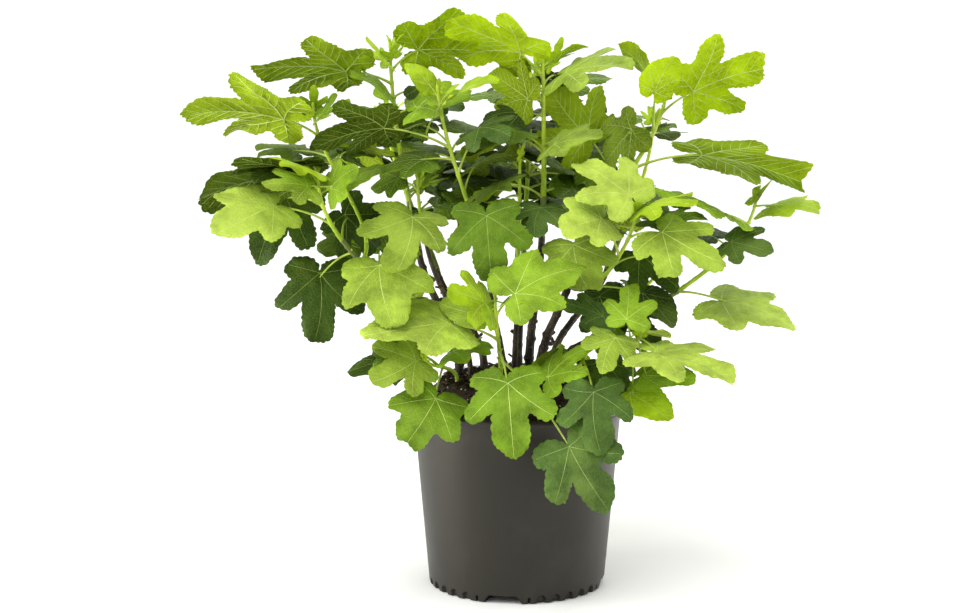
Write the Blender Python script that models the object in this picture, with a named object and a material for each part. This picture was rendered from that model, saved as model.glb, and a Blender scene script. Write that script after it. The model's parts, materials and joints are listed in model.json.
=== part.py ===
"""A young fig tree with many stems in a round nursery pot.

Metres, +Z up. The origin is the middle of the pot's flat underside, and the
plant is looked at from -Y. The pot is a turned shell, the soil fills it, the
stems stand on the soil, and every shoot is one solid of stem, stalks and
lobed leaves.
"""

import math
import random
from typing import NamedTuple

import bmesh
import bpy
from mathutils import Vector
from mathutils.bvhtree import BVHTree

# Units, clearances and directions
CM = 0.01
GAP = 0.0003
UP = Vector((0.0, 0.0, 1.0))
FRONT = Vector((0.0, -1.0, 0.0))

# Pot
POT_HEIGHT = 0.225
POT_FOOT_RADIUS = 0.1065
POT_BODY_RADIUS = 0.1255
POT_LIP_RADIUS = 0.140
POT_LIP_HEIGHT = 0.0065
POT_LIP_UNDERCUT = 0.004
POT_LIP_EDGE = 0.0015
POT_MOUTH_CHAMFER = 0.004
POT_WALL = 0.0025
POT_FLOOR = 0.012
POT_SIDES = 40
FOOT_ROUNDING = 0.002
NOTCH_COUNT = 4
NOTCH_FIRST_ANGLE = math.radians(-100.0)
NOTCH_HALF_ANGLE = math.radians(10.5)
NOTCH_HEIGHT = 0.0095
NOTCH_DEPTH = 0.022
NOTCH_SPREAD_LOW = 1.12
NOTCH_SPREAD_HIGH = 0.82
NOTCH_OVERCUT = 0.002
POT_SMOOTH_ANGLE = math.radians(30.0)

# Soil
SOIL_TOP = 0.255
SOIL_TOP_RADIUS = 0.092
SOIL_EDGE = 0.206
SOIL_SHOULDER = 0.012

# Limbs
STEM_SIDES = 8
STEM_RINGS = 7
STEM_SMOOTH_ANGLE = math.radians(50.0)
UPRIGHT = 0.999
SHOOT_SIDES = 5
SHOOT_RINGS = 7
STALK_SIDES = 3
STALK_ARCH = 0.06
STALK_GIRTH = 0.0032
STALK_SINK = 0.006
STALK_SLENDER = 0.7
STALK_STOUTER = 3.0
STALK_TIP = 0.8
SHOOT_TIP_GIRTH = 0.0034

# Leaves, in blade lengths, metres and degrees
BLADE_THICKNESS = 0.024
BLADE_LEAST = 0.0016
BLADE_CLEAR = 0.0012
EDGE_ON = 0.05
GOLDEN = 0.381966
TURNS = (0, 7, -7, 14, -14, 21, -21, 30, -30)
TILTS = (0, 8, -8, 16, -16)

# The spiral rule for leaves behind and inside the crown: shares, ratios and degrees
RULE_HIGHEST = 0.97
RULE_JITTER = 0.12
RULE_SIZES = (0.88, 1.12)
RULE_STALKS = (0.45, 0.80)
RULE_STALK_RISES = (0.0, 25.0)
RULE_BLADE_SWING = 25.0
RULE_BLADE_RISES = (-42.0, -8.0)
RULE_RISE_BY_SHARE = (25.0, 30.0)
RULE_LEANS_BEHIND = (-15.0, 35.0)
RULE_LEANS_IN_FRONT = (15.0, 55.0)

# The see-through space among the bare stems, and the reach of the rule's leaves
WINDOW_LOW = Vector((-0.125, -0.30, 0.262))
WINDOW_HIGH = Vector((0.075, 0.40, 0.405))
REACH_LOW = Vector((-0.370, -0.215, 0.262))
REACH_HIGH = Vector((0.340, 0.340, 0.655))


class Limb(NamedTuple):
    """A stem from the soil, or a bough that starts on another limb."""

    parent: str | None
    start: tuple
    tip: tuple
    girth: tuple
    upturn: float = 0.5


class Leaf(NamedTuple):
    """One leaf: its node on the shoot, its stalk, and how its blade lies.

    stalk is length in cm, heading and rise in degrees. blade is length in cm,
    heading and rise of its midrib. lean tips its upper side from up to front.
    """

    node: float
    stalk: tuple
    blade: tuple
    lean: float
    form: str = "lobed"


class Fill(NamedTuple):
    """Leaves set by the spiral rule: how many, the arc they keep to, and sizes."""

    count: int
    arc: tuple
    size: tuple
    low: float = 0.2


class Shoot(NamedTuple):
    """A mass of foliage: one stem, its leaves, and the limb that bears it."""

    parent: str | None
    start: tuple
    tip: tuple
    girth: float
    upturn: float
    leaves: tuple
    fill: Fill


# A start on the soil is x, y in cm. A start on a limb is the fraction of its length.
LIMBS = {
    "stem_left": Limb(None, (-7.0, 2.0), (-12.0, 4.5, 40.5), (1.0, 0.8), 0.7),
    "stem_left_inner": Limb(None, (-5.6, -0.6), (-10.9, 0.0, 41.5), (0.64, 0.5)),
    "stem_centre_left": Limb(None, (-1.6, 0.2), (-3.2, 0.0, 35.5), (0.8, 0.6)),
    "stem_centre": Limb(None, (-0.3, 2.0), (0.0, 1.2, 34.0), (0.7, 0.6)),
    "stem_middle": Limb(None, (1.5, 3.0), (3.0, 3.2, 42.0), (1.1, 0.8), 0.7),
    "stem_middle_right": Limb(None, (2.7, 0.8), (6.6, -0.8, 38.3), (1.1, 0.86), 0.35),
    "stem_right": Limb(None, (5.0, 1.2), (15.8, 0.0, 33.2), (0.84, 0.6), 0.25),
    "stem_back_left": Limb(None, (-4.0, 5.2), (-10.0, 12.5, 37.0), (0.9, 0.7)),
    "stem_back": Limb(None, (0.3, 6.4), (1.0, 12.5, 39.0), (0.9, 0.7)),
    "stem_back_right": Limb(None, (4.4, 5.4), (11.5, 12.0, 37.0), (0.9, 0.7)),
    "bough_left": Limb("stem_left", (0.55,), (-19.4, -2.4, 40.4), (0.74, 0.6), 0.35),
}

SHOOTS = {
    "foliage_top_left": Shoot(
        "stem_left", (1.0,), (-15.3, 5.0, 64.6), 0.8, 0.9,
        (
            Leaf(0.82, (6.0, -160, 16), (11.4, -162, -2), -24),
            Leaf(0.88, (6.0, 55, 25), (9.8, -6, -1), -36),
            Leaf(0.93, (2.2, -105, 8), (4.2, -133, 11), 50, "young"),
            Leaf(0.74, (3.4, -104, 20), (5.5, -143, 25), 30),
            Leaf(0.66, (4.5, -50, 15), (6.8, -8, 12), 26, "broad"),
            Leaf(0.30, (10.3, -84, -14), (8.2, -106, -45), 70),
        ),
        Fill(5, (20, 150), (9.0, 6.5)),
    ),
    "foliage_left_high": Shoot(
        "bough_left", (0.9,), (-24.3, 1.0, 57.4), 0.5, 0.9,
        (
            Leaf(0.83, (4.8, -166, 28), (11.5, -166, 3), -22),
            Leaf(0.98, (0.8, 90, 60), (3.0, -84, 62), 70, "young"),
            Leaf(0.95, (1.3, -56, 12), (4.0, -15, 21), 30, "young"),
            Leaf(0.95, (1.5, -125, 19), (2.8, -149, 27), 30, "young"),
            Leaf(0.25, (2.0, -10, 4), (5.8, 0, 16), 6, "plain"),
        ),
        Fill(3, (20, 140), (8.0, 6.0), 0.3),
    ),
    "foliage_left": Shoot(
        "bough_left", (1.0,), (-23.2, -7.0, 49.7), 0.6, 0.9,
        (
            Leaf(0.45, (7.7, -155, 20), (8.2, -142, -20), 48, "broad"),
            Leaf(0.75, (5.5, 127, 30), (12.0, -170, -12), -22, "broad"),
            Leaf(0.70, (5.6, 150, 12), (8.8, -140, -62), 70),
            Leaf(0.96, (2.4, -160, 60), (5.6, -132, 20), 40, "broad"),
            Leaf(0.92, (3.0, -112, 8), (5.8, -148, 3), 35),
            Leaf(0.94, (1.8, -35, -7), (4.8, -32, 34), 50, "broad"),
            Leaf(0.85, (3.7, 56, 10), (6.5, 19, 19), 10, "plain"),
            Leaf(0.03, (4.8, 166, -32), (8.2, -104, -76), 55),
            Leaf(0.22, (5.4, 83, 20), (6.0, 10, -62), 60),
        ),
        Fill(2, (40, 120), (7.0, 6.0), 0.3),
    ),
    "foliage_inner_left": Shoot(
        "stem_left_inner", (1.0,), (-11.9, 0.2, 48.5), 0.5, 0.8,
        (
            Leaf(0.2, (9.8, -122, -18), (8.2, -70, -52), 75, "broad"),
        ),
        Fill(5, (0, 200), (8.5, 6.5)),
    ),
    "foliage_centre_left": Shoot(
        "stem_centre_left", (1.0,), (-9.4, -3.0, 59.6), 0.6, 0.5,
        (
            Leaf(0.73, (8.4, -164, 18), (8.8, -170, -17), -32),
            Leaf(0.60, (6.8, -50, 56), (6.0, -50, -8), 45),
            Leaf(0.88, (2.6, -96, 30), (5.0, -112, -48), -40),
            Leaf(0.97, (1.8, 178, 55), (3.8, 175, 45), 40, "plain"),
            Leaf(0.93, (2.8, 0, 37), (5.0, -25, 16), 20, "plain"),
            Leaf(0.50, (3.4, 60, 60), (6.6, 22, 14), -20),
        ),
        Fill(6, (20, 150), (9.0, 6.5), 0.35),
    ),
    "foliage_top": Shoot(
        "stem_middle", (1.0,), (3.1, 3.0, 62.8), 0.8, 0.9,
        (
            Leaf(0.90, (4.6, -151, 47), (9.6, -164, 20), -24),
            Leaf(0.98, (1.6, 0, 33), (4.4, -15, 22), -20, "young"),
            Leaf(0.83, (4.7, -50, 33), (8.4, -30, 7), 28),
            Leaf(0.78, (2.2, -150, 10), (6.0, 150, 30), -60),
            Leaf(0.22, (8.5, -140, 17), (6.8, -154, -32), -14),
            Leaf(0.52, (5.1, -78, 7), (6.2, -33, 10), 30, "broad"),
            Leaf(0.50, (6.4, -128, 24), (5.8, -144, -18), 15, "broad"),
        ),
        Fill(7, (10, 160), (9.0, 6.5)),
    ),
    "foliage_centre": Shoot(
        "stem_centre", (1.0,), (0.3, 2.2, 52.0), 0.6, 0.6,
        (
            Leaf(0.72, (11.4, -114, -2), (7.8, -64, -74), 84),
            Leaf(0.66, (5.4, -63, 2), (5.4, -101, -34), 55),
        ),
        Fill(4, (20, 140), (8.0, 6.5), 0.5),
    ),
    "foliage_top_right": Shoot(
        "stem_middle_right", (1.0,), (18.0, 3.0, 60.4), 0.86, 0.85,
        (
            Leaf(0.85, (4.8, -15, 36), (9.0, -14, 19), -46),
            Leaf(0.76, (5.7, -92, 60), (5.4, -50, 52), -50, "plain"),
            Leaf(0.94, (3.8, 130, 39), (5.8, 135, 32), -40, "plain"),
            Leaf(0.55, (8.8, -13, 13), (12.2, -10, -14), -15, "broad"),
            Leaf(0.66, (3.9, -126, 44), (6.4, -130, -36), -60),
            Leaf(0.45, (7.6, 135, 49), (8.0, 142, 44), -70),
        ),
        Fill(6, (40, 130), (9.0, 6.5)),
    ),
    "foliage_right": Shoot(
        "stem_middle_right", (0.86,), (13.7, -8.0, 46.6), 0.6, 0.8,
        (
            Leaf(0.97, (3.5, -112, 38), (7.2, 150, 28), 36),
            Leaf(0.98, (1.8, -50, 22), (6.4, -38, 5), 20),
            Leaf(0.92, (3.2, 12, -4), (5.6, 0, 1), 10, "broad"),
            Leaf(0.75, (5.8, -50, 13), (8.6, -27, -25), 36),
            Leaf(0.60, (7.0, -118, 44), (5.8, -146, -10), 55, "broad"),
            Leaf(0.35, (5.3, -165, 50), (6.8, -72, -46), 60, "broad"),
            Leaf(0.45, (5.4, 42, 16), (6.4, -30, -38), 45),
            Leaf(0.15, (6.9, -6, -3), (6.0, -44, -37), 15, "plain"),
        ),
        Fill(2, (60, 100), (8.0, 6.5), 0.3),
    ),
    "foliage_far_right": Shoot(
        "stem_right", (1.0,), (28.4, 0.0, 46.4), 0.6, 0.75,
        (
            Leaf(0.85, (3.4, -152, 22), (10.0, -164, 18), 5),
            Leaf(0.97, (2.4, -28, 4), (5.8, -30, 2), 15, "broad"),
            Leaf(0.97, (1.2, 60, 50), (4.2, 30, 40), -10, "young"),
            Leaf(0.78, (4.6, -112, -6), (5.4, -31, -10), 40),
            Leaf(0.22, (5.6, -19, -9), (9.6, -26, -16), 20, "broad"),
        ),
        Fill(3, (50, 90), (7.5, 6.0), 0.45),
    ),
    "foliage_low_right": Shoot(
        "stem_right", (0.5,), (14.2, -8.0, 31.6), 0.5, 0.5,
        (
            Leaf(0.70, (7.6, -103, 16), (6.0, -112, -36), 70),
            Leaf(0.80, (7.2, -99, 32), (4.8, 84, 46), 50),
            Leaf(0.95, (6.5, -77, -5), (9.7, -22, -14), 10),
            Leaf(0.97, (4.8, -84, -60), (6.6, -26, 2), 28, "plain"),
            Leaf(0.93, (6.8, -107, -58), (6.4, -44, -21), 45, "plain"),
            Leaf(0.50, (5.2, -118, 50), (5.6, -168, 18), 30),
            Leaf(0.40, (6.6, 105, 52), (6.2, -56, -41), 60),
        ),
        Fill(3, (20, 120), (7.0, 6.0), 0.4),
    ),
    "foliage_front": Shoot(
        None, (-2.0, -5.0), (-2.7, -10.0, 36.4), 0.55, 0.85,
        (
            Leaf(0.50, (6.6, -161, 21), (10.6, -157, -5), 27, "broad"),
            Leaf(0.97, (1.5, -140, -5), (6.2, -140, 20), 50),
            Leaf(0.97, (2.1, -70, -5), (4.2, -50, 12), 30, "young"),
            Leaf(0.80, (5.9, -64, 38), (8.8, 15, 27), 38, "broad"),
            Leaf(0.35, (8.9, -84, -14), (8.8, -78, -68), 85),
            Leaf(0.75, (1.8, -160, 19), (6.0, 150, 10), 40, "plain"),
            Leaf(0.25, (16.2, -57, -29), (8.6, -33, -52), 85),
        ),
        Fill(0, (0, 0), (0.0, 0.0)),
    ),
    "foliage_low_left": Shoot(
        None, (-7.2, -4.2), (-10.9, -9.0, 29.0), 0.45, 0.3,
        (
            Leaf(0.97, (1.7, -131, 5), (7.0, -140, -16), 60),
            Leaf(0.55, (2.4, -12, 52), (5.0, -32, 6), 20, "broad"),
            Leaf(0.90, (5.4, 164, -4), (4.6, -165, -16), 20, "plain"),
            Leaf(0.50, (6.4, -97, -24), (7.0, -127, -40), 60, "broad"),
        ),
        Fill(2, (100, 100), (6.0, 5.5), 0.5),
    ),
    "foliage_low_front": Shoot(
        None, (4.6, -5.4), (7.6, -9.2, 29.0), 0.45, 0.4,
        (
            Leaf(0.95, (7.9, -83, -16), (7.2, -76, -66), 80),
            Leaf(0.55, (5.2, -122, -10), (6.8, 14, 16), 16),
            Leaf(0.30, (1.6, -100, 46), (5.2, -138, -20), -60, "plain"),
        ),
        Fill(0, (0, 0), (0.0, 0.0)),
    ),
    "foliage_back_left": Shoot(
        "stem_back_left", (1.0,), (-16.5, 19.0, 56.0), 0.7, 0.85, (),
        Fill(9, (-20, 270), (10.0, 6.5), 0.12),
    ),
    "foliage_back": Shoot(
        "stem_back", (1.0,), (2.0, 17.0, 60.0), 0.7, 0.85, (),
        Fill(9, (-40, 260), (10.0, 6.5), 0.12),
    ),
    "foliage_back_right": Shoot(
        "stem_back_right", (1.0,), (17.5, 17.0, 55.0), 0.7, 0.85, (),
        Fill(9, (-80, 260), (10.0, 6.5), 0.12),
    ),
    "foliage_back_low_left": Shoot(
        "stem_back_left", (0.6,), (-20.0, 13.5, 41.0), 0.55, 0.7, (),
        Fill(7, (50, 190), (9.0, 6.5), 0.35),
    ),
    "foliage_back_low": Shoot(
        "stem_back", (0.5,), (1.0, 25.0, 49.0), 0.55, 0.7, (),
        Fill(7, (-30, 240), (9.5, 7.0), 0.55),
    ),
    "foliage_back_low_right": Shoot(
        "stem_back_right", (0.6,), (20.5, 14.5, 40.5), 0.55, 0.7, (),
        Fill(7, (-60, 190), (9.0, 6.5), 0.35),
    ),
}

# Half outlines as angle from the midrib and reach in blade lengths, tip to foot
FORMS = {
    "lobed": ((0, 1.0), (11, 0.93), (20, 0.72), (27, 0.48), (42, 0.77), (54, 0.76), (65, 0.56),
              (77, 0.43), (96, 0.53), (118, 0.51), (150, 0.34), (180, 0.06)),
    "broad": ((0, 1.0), (13, 0.90), (28, 0.60), (42, 0.75), (56, 0.72), (78, 0.49),
              (102, 0.55), (128, 0.49), (155, 0.33), (180, 0.06)),
    "coarse": ((0, 1.0), (26, 0.55), (48, 0.78), (77, 0.48), (110, 0.52), (180, 0.06)),
    "plain": ((0, 1.0), (15, 0.85), (36, 0.62), (66, 0.45), (110, 0.32), (180, 0.05)),
    "young": ((0, 1.0), (12, 0.76), (27, 0.34), (40, 0.72), (50, 0.72), (76, 0.30),
              (104, 0.46), (180, 0.06)),
}
BLADE_MIDDLE = {"lobed": 0.22, "broad": 0.22, "coarse": 0.22, "plain": 0.22, "young": 0.10}
ARCH = (0.16, 0.34)
CUP = {"lobed": (0.08, 0.30), "broad": (0.06, 0.26), "coarse": (0.08, 0.30),
       "plain": (-0.25, 0.15), "young": (-0.50, -0.10)}
OPEN_FOLD = (0.0, 0.08)
CLOSED_FOLD = (0.34, 0.48)
TWIST = 0.12
LOBE_SPREAD = 0.10
LOBE_SWING = 3.0

COLOURS = {
    "pot": ((0.040, 0.038, 0.035), 0.45),
    "soil": ((0.030, 0.021, 0.015), 0.95),
    "bark": ((0.045, 0.035, 0.024), 0.85),
    "leaf": ((0.125, 0.245, 0.030), 0.55),
}


# Materials and objects

def material(name, finish):
    """Return a Principled material of the named finish."""
    made = bpy.data.materials.new(name)
    made.use_nodes = True
    shader = made.node_tree.nodes["Principled BSDF"]
    colour, roughness = COLOURS[finish]
    shader.inputs["Base Color"].default_value = (*colour, 1.0)
    shader.inputs["Roughness"].default_value = roughness
    shader.inputs["Metallic"].default_value = 0.0
    return made


def mesh_object(name, points, faces, collection=None):
    """Make an object from points and faces, linked to a collection."""
    mesh = bpy.data.meshes.new(name)
    mesh.from_pydata(points, [], faces)
    mesh.update()
    made = bpy.data.objects.new(name, mesh)
    (collection or bpy.context.scene.collection).objects.link(made)
    return made


def bake_modifiers(thing):
    """Replace an object's mesh by its evaluated mesh and drop its modifiers."""
    graph = bpy.context.evaluated_depsgraph_get()
    mesh = bpy.data.meshes.new_from_object(thing.evaluated_get(graph), depsgraph=graph)
    thing.modifiers.clear()
    thing.data = mesh


# Pot and soil

def turned(name, profile, sides):
    """Spin a closed profile of radius and height about the Z axis."""
    points = []
    rows = []
    for radius, height in profile:
        if radius == 0.0:
            rows.append([len(points)] * sides)
            points.append((0.0, 0.0, height))
            continue
        rows.append(list(range(len(points), len(points) + sides)))
        for side in range(sides):
            angle = 2.0 * math.pi * side / sides
            points.append((radius * math.cos(angle), radius * math.sin(angle), height))
    faces = []
    for low, high in zip(rows, rows[1:]):
        for side in range(sides):
            after = (side + 1) % sides
            corners = [low[side], low[after], high[after], high[side]]
            face = list(dict.fromkeys(corners))
            if len(face) > 2:
                faces.append(face)
    return mesh_object(name, points, faces)


def wall_radius(height):
    """Outer radius of the tapered pot wall at a height."""
    share = height / (POT_HEIGHT - POT_LIP_HEIGHT - POT_LIP_UNDERCUT)
    return POT_FOOT_RADIUS + (POT_BODY_RADIUS - POT_FOOT_RADIUS) * min(share, 1.0)


def notch_cutter(index):
    """A wedge with sloping ends that cuts one drain notch in the pot's foot."""
    middle = NOTCH_FIRST_ANGLE + 2.0 * math.pi * index / NOTCH_COUNT
    inner = POT_FOOT_RADIUS - NOTCH_DEPTH
    outer = POT_FOOT_RADIUS + NOTCH_DEPTH
    points = []
    for height, spread in ((-NOTCH_OVERCUT, NOTCH_SPREAD_LOW), (NOTCH_HEIGHT, NOTCH_SPREAD_HIGH)):
        for radius, side in ((inner, -1), (outer, -1), (outer, 1), (inner, 1)):
            angle = middle + side * spread * NOTCH_HALF_ANGLE
            points.append((radius * math.cos(angle), radius * math.sin(angle), height))
    faces = [(3, 2, 1, 0), (4, 5, 6, 7), (0, 1, 5, 4), (1, 2, 6, 5), (2, 3, 7, 6), (3, 0, 4, 7)]
    cutter = mesh_object(f"notch_cutter_{index}", points, faces)
    cutter.hide_render = True
    cutter.display_type = "WIRE"
    return cutter


def build_pot():
    """Turn the pot's shell and cut its four drain notches."""
    neck = POT_HEIGHT - POT_LIP_HEIGHT - POT_LIP_UNDERCUT
    under = POT_HEIGHT - POT_LIP_HEIGHT
    profile = (
        (0.0, 0.0),
        (POT_FOOT_RADIUS - FOOT_ROUNDING, 0.0),
        (POT_FOOT_RADIUS, FOOT_ROUNDING),
        (POT_BODY_RADIUS, neck),
        (POT_LIP_RADIUS - POT_LIP_EDGE, under),
        (POT_LIP_RADIUS, under + POT_LIP_EDGE),
        (POT_LIP_RADIUS, POT_HEIGHT - POT_LIP_EDGE),
        (POT_LIP_RADIUS - POT_LIP_EDGE, POT_HEIGHT),
        (POT_BODY_RADIUS - POT_WALL + POT_MOUTH_CHAMFER, POT_HEIGHT),
        (POT_BODY_RADIUS - POT_WALL, neck),
        (wall_radius(POT_FLOOR) - POT_WALL, POT_FLOOR),
        (0.0, POT_FLOOR),
    )
    pot = turned("pot", profile, POT_SIDES)
    cutters = [notch_cutter(index) for index in range(NOTCH_COUNT)]
    for cutter in cutters:
        cut = pot.modifiers.new(cutter.name, "BOOLEAN")
        cut.operation = "DIFFERENCE"
        cut.solver = "EXACT"
        cut.object = cutter
    bake_modifiers(pot)
    for cutter in cutters:
        bpy.data.objects.remove(cutter)
    pot.data.shade_smooth()
    pot.data.set_sharp_from_angle(angle=POT_SMOOTH_ANGLE)
    pot.data.materials.clear()
    pot.data.materials.append(material("pot_plastic", "pot"))
    return pot


def build_soil():
    """Fill the pot with a mound of soil that has a level top for the stems."""
    low = POT_FLOOR + GAP
    profile = (
        (0.0, low),
        (wall_radius(low) - POT_WALL - GAP, low),
        (wall_radius(SOIL_EDGE) - POT_WALL - GAP, SOIL_EDGE),
        (SOIL_TOP_RADIUS + SOIL_SHOULDER, SOIL_TOP - SOIL_SHOULDER),
        (SOIL_TOP_RADIUS, SOIL_TOP),
        (0.0, SOIL_TOP),
    )
    soil = turned("soil", profile, POT_SIDES)
    soil.data.materials.append(material("potting_soil", "soil"))
    return soil


# Curves and tubes

def bezier(start, leave, arrive, tip, share):
    """Point of a cubic curve at a share of its length."""
    rest = 1.0 - share
    return (start * rest ** 3 + leave * 3.0 * rest * rest * share
            + arrive * 3.0 * rest * share * share + tip * share ** 3)


def grown_path(start, first, tip, upturn, count):
    """Path of a limb that leaves along first and turns up towards its tip."""
    run = tip - start
    last = (run.normalized() * (1.0 - upturn) + UP * upturn).normalized()
    reach = run.length / 3.0
    leave = start + first.normalized() * reach
    arrive = tip - last * reach
    return [bezier(start, leave, arrive, tip, step / (count - 1)) for step in range(count)]


def tube(path, radii, sides, first=None, pointed=False):
    """Points and faces of a closed tapering tube along a path."""
    points = []
    across = None
    for index, centre in enumerate(path):
        before = path[max(index - 1, 0)]
        after = path[min(index + 1, len(path) - 1)]
        along = (after - before).normalized()
        if index == 0 and first is not None:
            along = first.normalized()
        if across is None:
            across = Vector((1.0, 0.0, 0.0)) if abs(along.z) > UPRIGHT else along.cross(UP)
        across = (across - along * across.dot(along)).normalized()
        other = along.cross(across)
        for side in range(sides):
            angle = 2.0 * math.pi * side / sides
            points.append(centre + (across * math.cos(angle) + other * math.sin(angle)) * radii[index])
    faces = [tuple(reversed(range(sides)))]
    for ring in range(len(path) - 1):
        for side in range(sides):
            after = (side + 1) % sides
            low = ring * sides
            faces.append((low + side, low + after, low + sides + after, low + sides + side))
    last = (len(path) - 1) * sides
    if pointed:
        end = path[-1] + (path[-1] - path[-2]).normalized() * radii[-1] * 2.0
        points.append(end)
        for side in range(sides):
            faces.append((last + side, last + (side + 1) % sides, len(points) - 1))
    else:
        faces.append(tuple(last + side for side in range(sides)))
    return points, faces


def taper(start, tip, count):
    """Radii that shrink evenly from start to tip."""
    return [start + (tip - start) * step / (count - 1) for step in range(count)]


def place_along(path, share):
    """Point and direction at a share of a path's length."""
    lengths = [(b - a).length for a, b in zip(path, path[1:])]
    want = share * sum(lengths)
    for a, b, length in zip(path, path[1:], lengths):
        if want <= length:
            return a + (b - a) * (want / length), (b - a).normalized()
        want -= length
    return path[-1].copy(), (path[-1] - path[-2]).normalized()


class Grown(NamedTuple):
    """A limb that stands: its path, and its radii at foot and tip."""

    path: list
    radii: list


def limb_start(parent, start, tip, radius):
    """Start point and direction of a limb on the soil, at a tip or on a side."""
    if parent is None:
        return Vector((start[0] * CM, start[1] * CM, SOIL_TOP + GAP)), UP.copy()
    share = start[0]
    spot, along = place_along(parent.path, share)
    if share >= 1.0:
        return spot + along * GAP, along
    out = tip - spot
    out = (out - along * out.dot(along)).normalized()
    girth = parent.radii[0] + (parent.radii[-1] - parent.radii[0]) * share
    return spot + out * (girth + GAP), out


# Leaves

def direction(heading, rise):
    """Unit vector from a heading and a rise in degrees."""
    turn = math.radians(heading)
    climb = math.radians(rise)
    return Vector((math.cos(climb) * math.cos(turn), math.cos(climb) * math.sin(turn), math.sin(climb)))


def blade_frame(heading, rise, lean):
    """Axes of a blade: along its midrib, across it, and out of its upper side."""
    along = direction(heading, rise)
    tilt = math.radians(lean)
    face = UP * math.cos(tilt) + FRONT * math.sin(tilt)
    out = face - along * face.dot(along)
    if out.length < EDGE_ON:
        out = UP - along * along.z
    out.normalize()
    return along, out.cross(along), out


def blade_outline(form, seed):
    """Outline of one blade in blade lengths, seen from above."""
    chance = random.Random(seed)
    half = FORMS[form]
    sides = []
    for mirror in (1, -1):
        stretch = 1.0 + chance.uniform(-LOBE_SPREAD, LOBE_SPREAD)
        swing = chance.uniform(-LOBE_SWING, LOBE_SWING)
        row = []
        for angle, reach in half[1:-1]:
            turn = math.radians(angle + swing)
            row.append((reach * stretch * math.cos(turn), mirror * reach * stretch * math.sin(turn)))
        sides.append(row)
    foot = (half[-1][1] * math.cos(math.pi), 0.0)
    return [(1.0, 0.0)] + sides[0] + [foot] + sides[1][::-1]


def blade_bend(form, seed, folded):
    """Arch along the midrib, cup across it, twist, and fold along the midrib of one blade."""
    chance = random.Random(seed + "bend")
    fold = chance.uniform(*(CLOSED_FOLD if folded else OPEN_FOLD))
    return chance.uniform(*ARCH), chance.uniform(*CUP[form]), chance.uniform(-TWIST, TWIST), fold


def blade_height(u, v, bend):
    """Height of a bent blade over its flat frame, in blade lengths."""
    arch, cup, twist, fold = bend
    return arch * u * (1.0 - u) - cup * v * v + twist * v * u * u + fold * abs(v)


def blade_solid(joint, frame, leaf, seed, spare=0.0):
    """Points and faces of one closed blade, thickest in its middle and sharp at its edge.

    With spare, the blade is thicker by that much on each side, edge and all.
    """
    along, across, out = frame
    length = leaf.blade[0] * CM
    bend = blade_bend(leaf.form, seed, leaf.lean < 0)
    outline = blade_outline(leaf.form, seed)
    edge = len(outline)
    middle = BLADE_MIDDLE[leaf.form]

    def spot(u, v, rise):
        height = blade_height(u, v, bend) * length + rise
        return joint + along * (u * length) + across * (v * length) + out * height

    half = max(BLADE_THICKNESS * length, BLADE_LEAST) / 2.0 + spare
    if spare == 0.0:
        points = [spot(u, v, 0.0) for u, v in outline]
        points += [spot(middle, 0.0, half), spot(middle, 0.0, -half)]
        faces = []
        for index in range(edge):
            after = (index + 1) % edge
            faces.append((index, after, edge))
            faces.append((after, index, edge + 1))
        return points, faces
    points = [spot(u, v, side * half) for side in (1, -1) for u, v in outline + [(middle, 0.0)]]
    lower = edge + 1
    faces = []
    for index in range(edge):
        after = (index + 1) % edge
        faces.append((index, after, edge))
        faces.append((after + lower, index + lower, edge + lower))
        faces.append((index + lower, after + lower, after, index))
    return points, faces


def stalk_path(start, joint, frame, leaf, seed):
    """Path of a leaf stalk from the shoot's axis into the blade."""
    along, _, out = frame
    run = joint - start
    length = leaf.blade[0] * CM
    rise = blade_height(STALK_SINK / length, 0.0, blade_bend(leaf.form, seed, leaf.lean < 0)) * length
    end = joint + along * STALK_SINK + out * rise
    return [start, start + run * 0.5 + UP * run.length * STALK_ARCH, end]


def closed_tree(points, faces):
    """Search tree of a closed shape."""
    return BVHTree.FromPolygons([tuple(p) for p in points], [tuple(f) for f in faces])


class Space:
    """Everything that is already in place, for the clearance of new leaves."""

    def __init__(self):
        self.shapes = []

    def add(self, points, faces, owner):
        """Keep a placed shape and the name of the node that owns it."""
        low, high = self.box(points)
        self.shapes.append((low, high, closed_tree(points, faces), owner))

    @staticmethod
    def box(points):
        """Lowest and highest corner of some points."""
        low = Vector([min(p[axis] for p in points) for axis in range(3)])
        high = Vector([max(p[axis] for p in points) for axis in range(3)])
        return low, high

    def touches(self, points, faces, skip=()):
        """Tell whether a shape meets one in place, apart from those of skipped owners."""
        low, high = self.box(points)
        tree = None
        for other_low, other_high, other, owner in self.shapes:
            if owner in skip:
                continue
            if any(low[axis] > other_high[axis] or high[axis] < other_low[axis] for axis in range(3)):
                continue
            tree = tree or closed_tree(points, faces)
            if tree.overlap(other):
                return True
        return False


def inside(point, low, high):
    """Tell whether a point lies in a box."""
    return all(low[axis] <= point[axis] <= high[axis] for axis in range(3))


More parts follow.
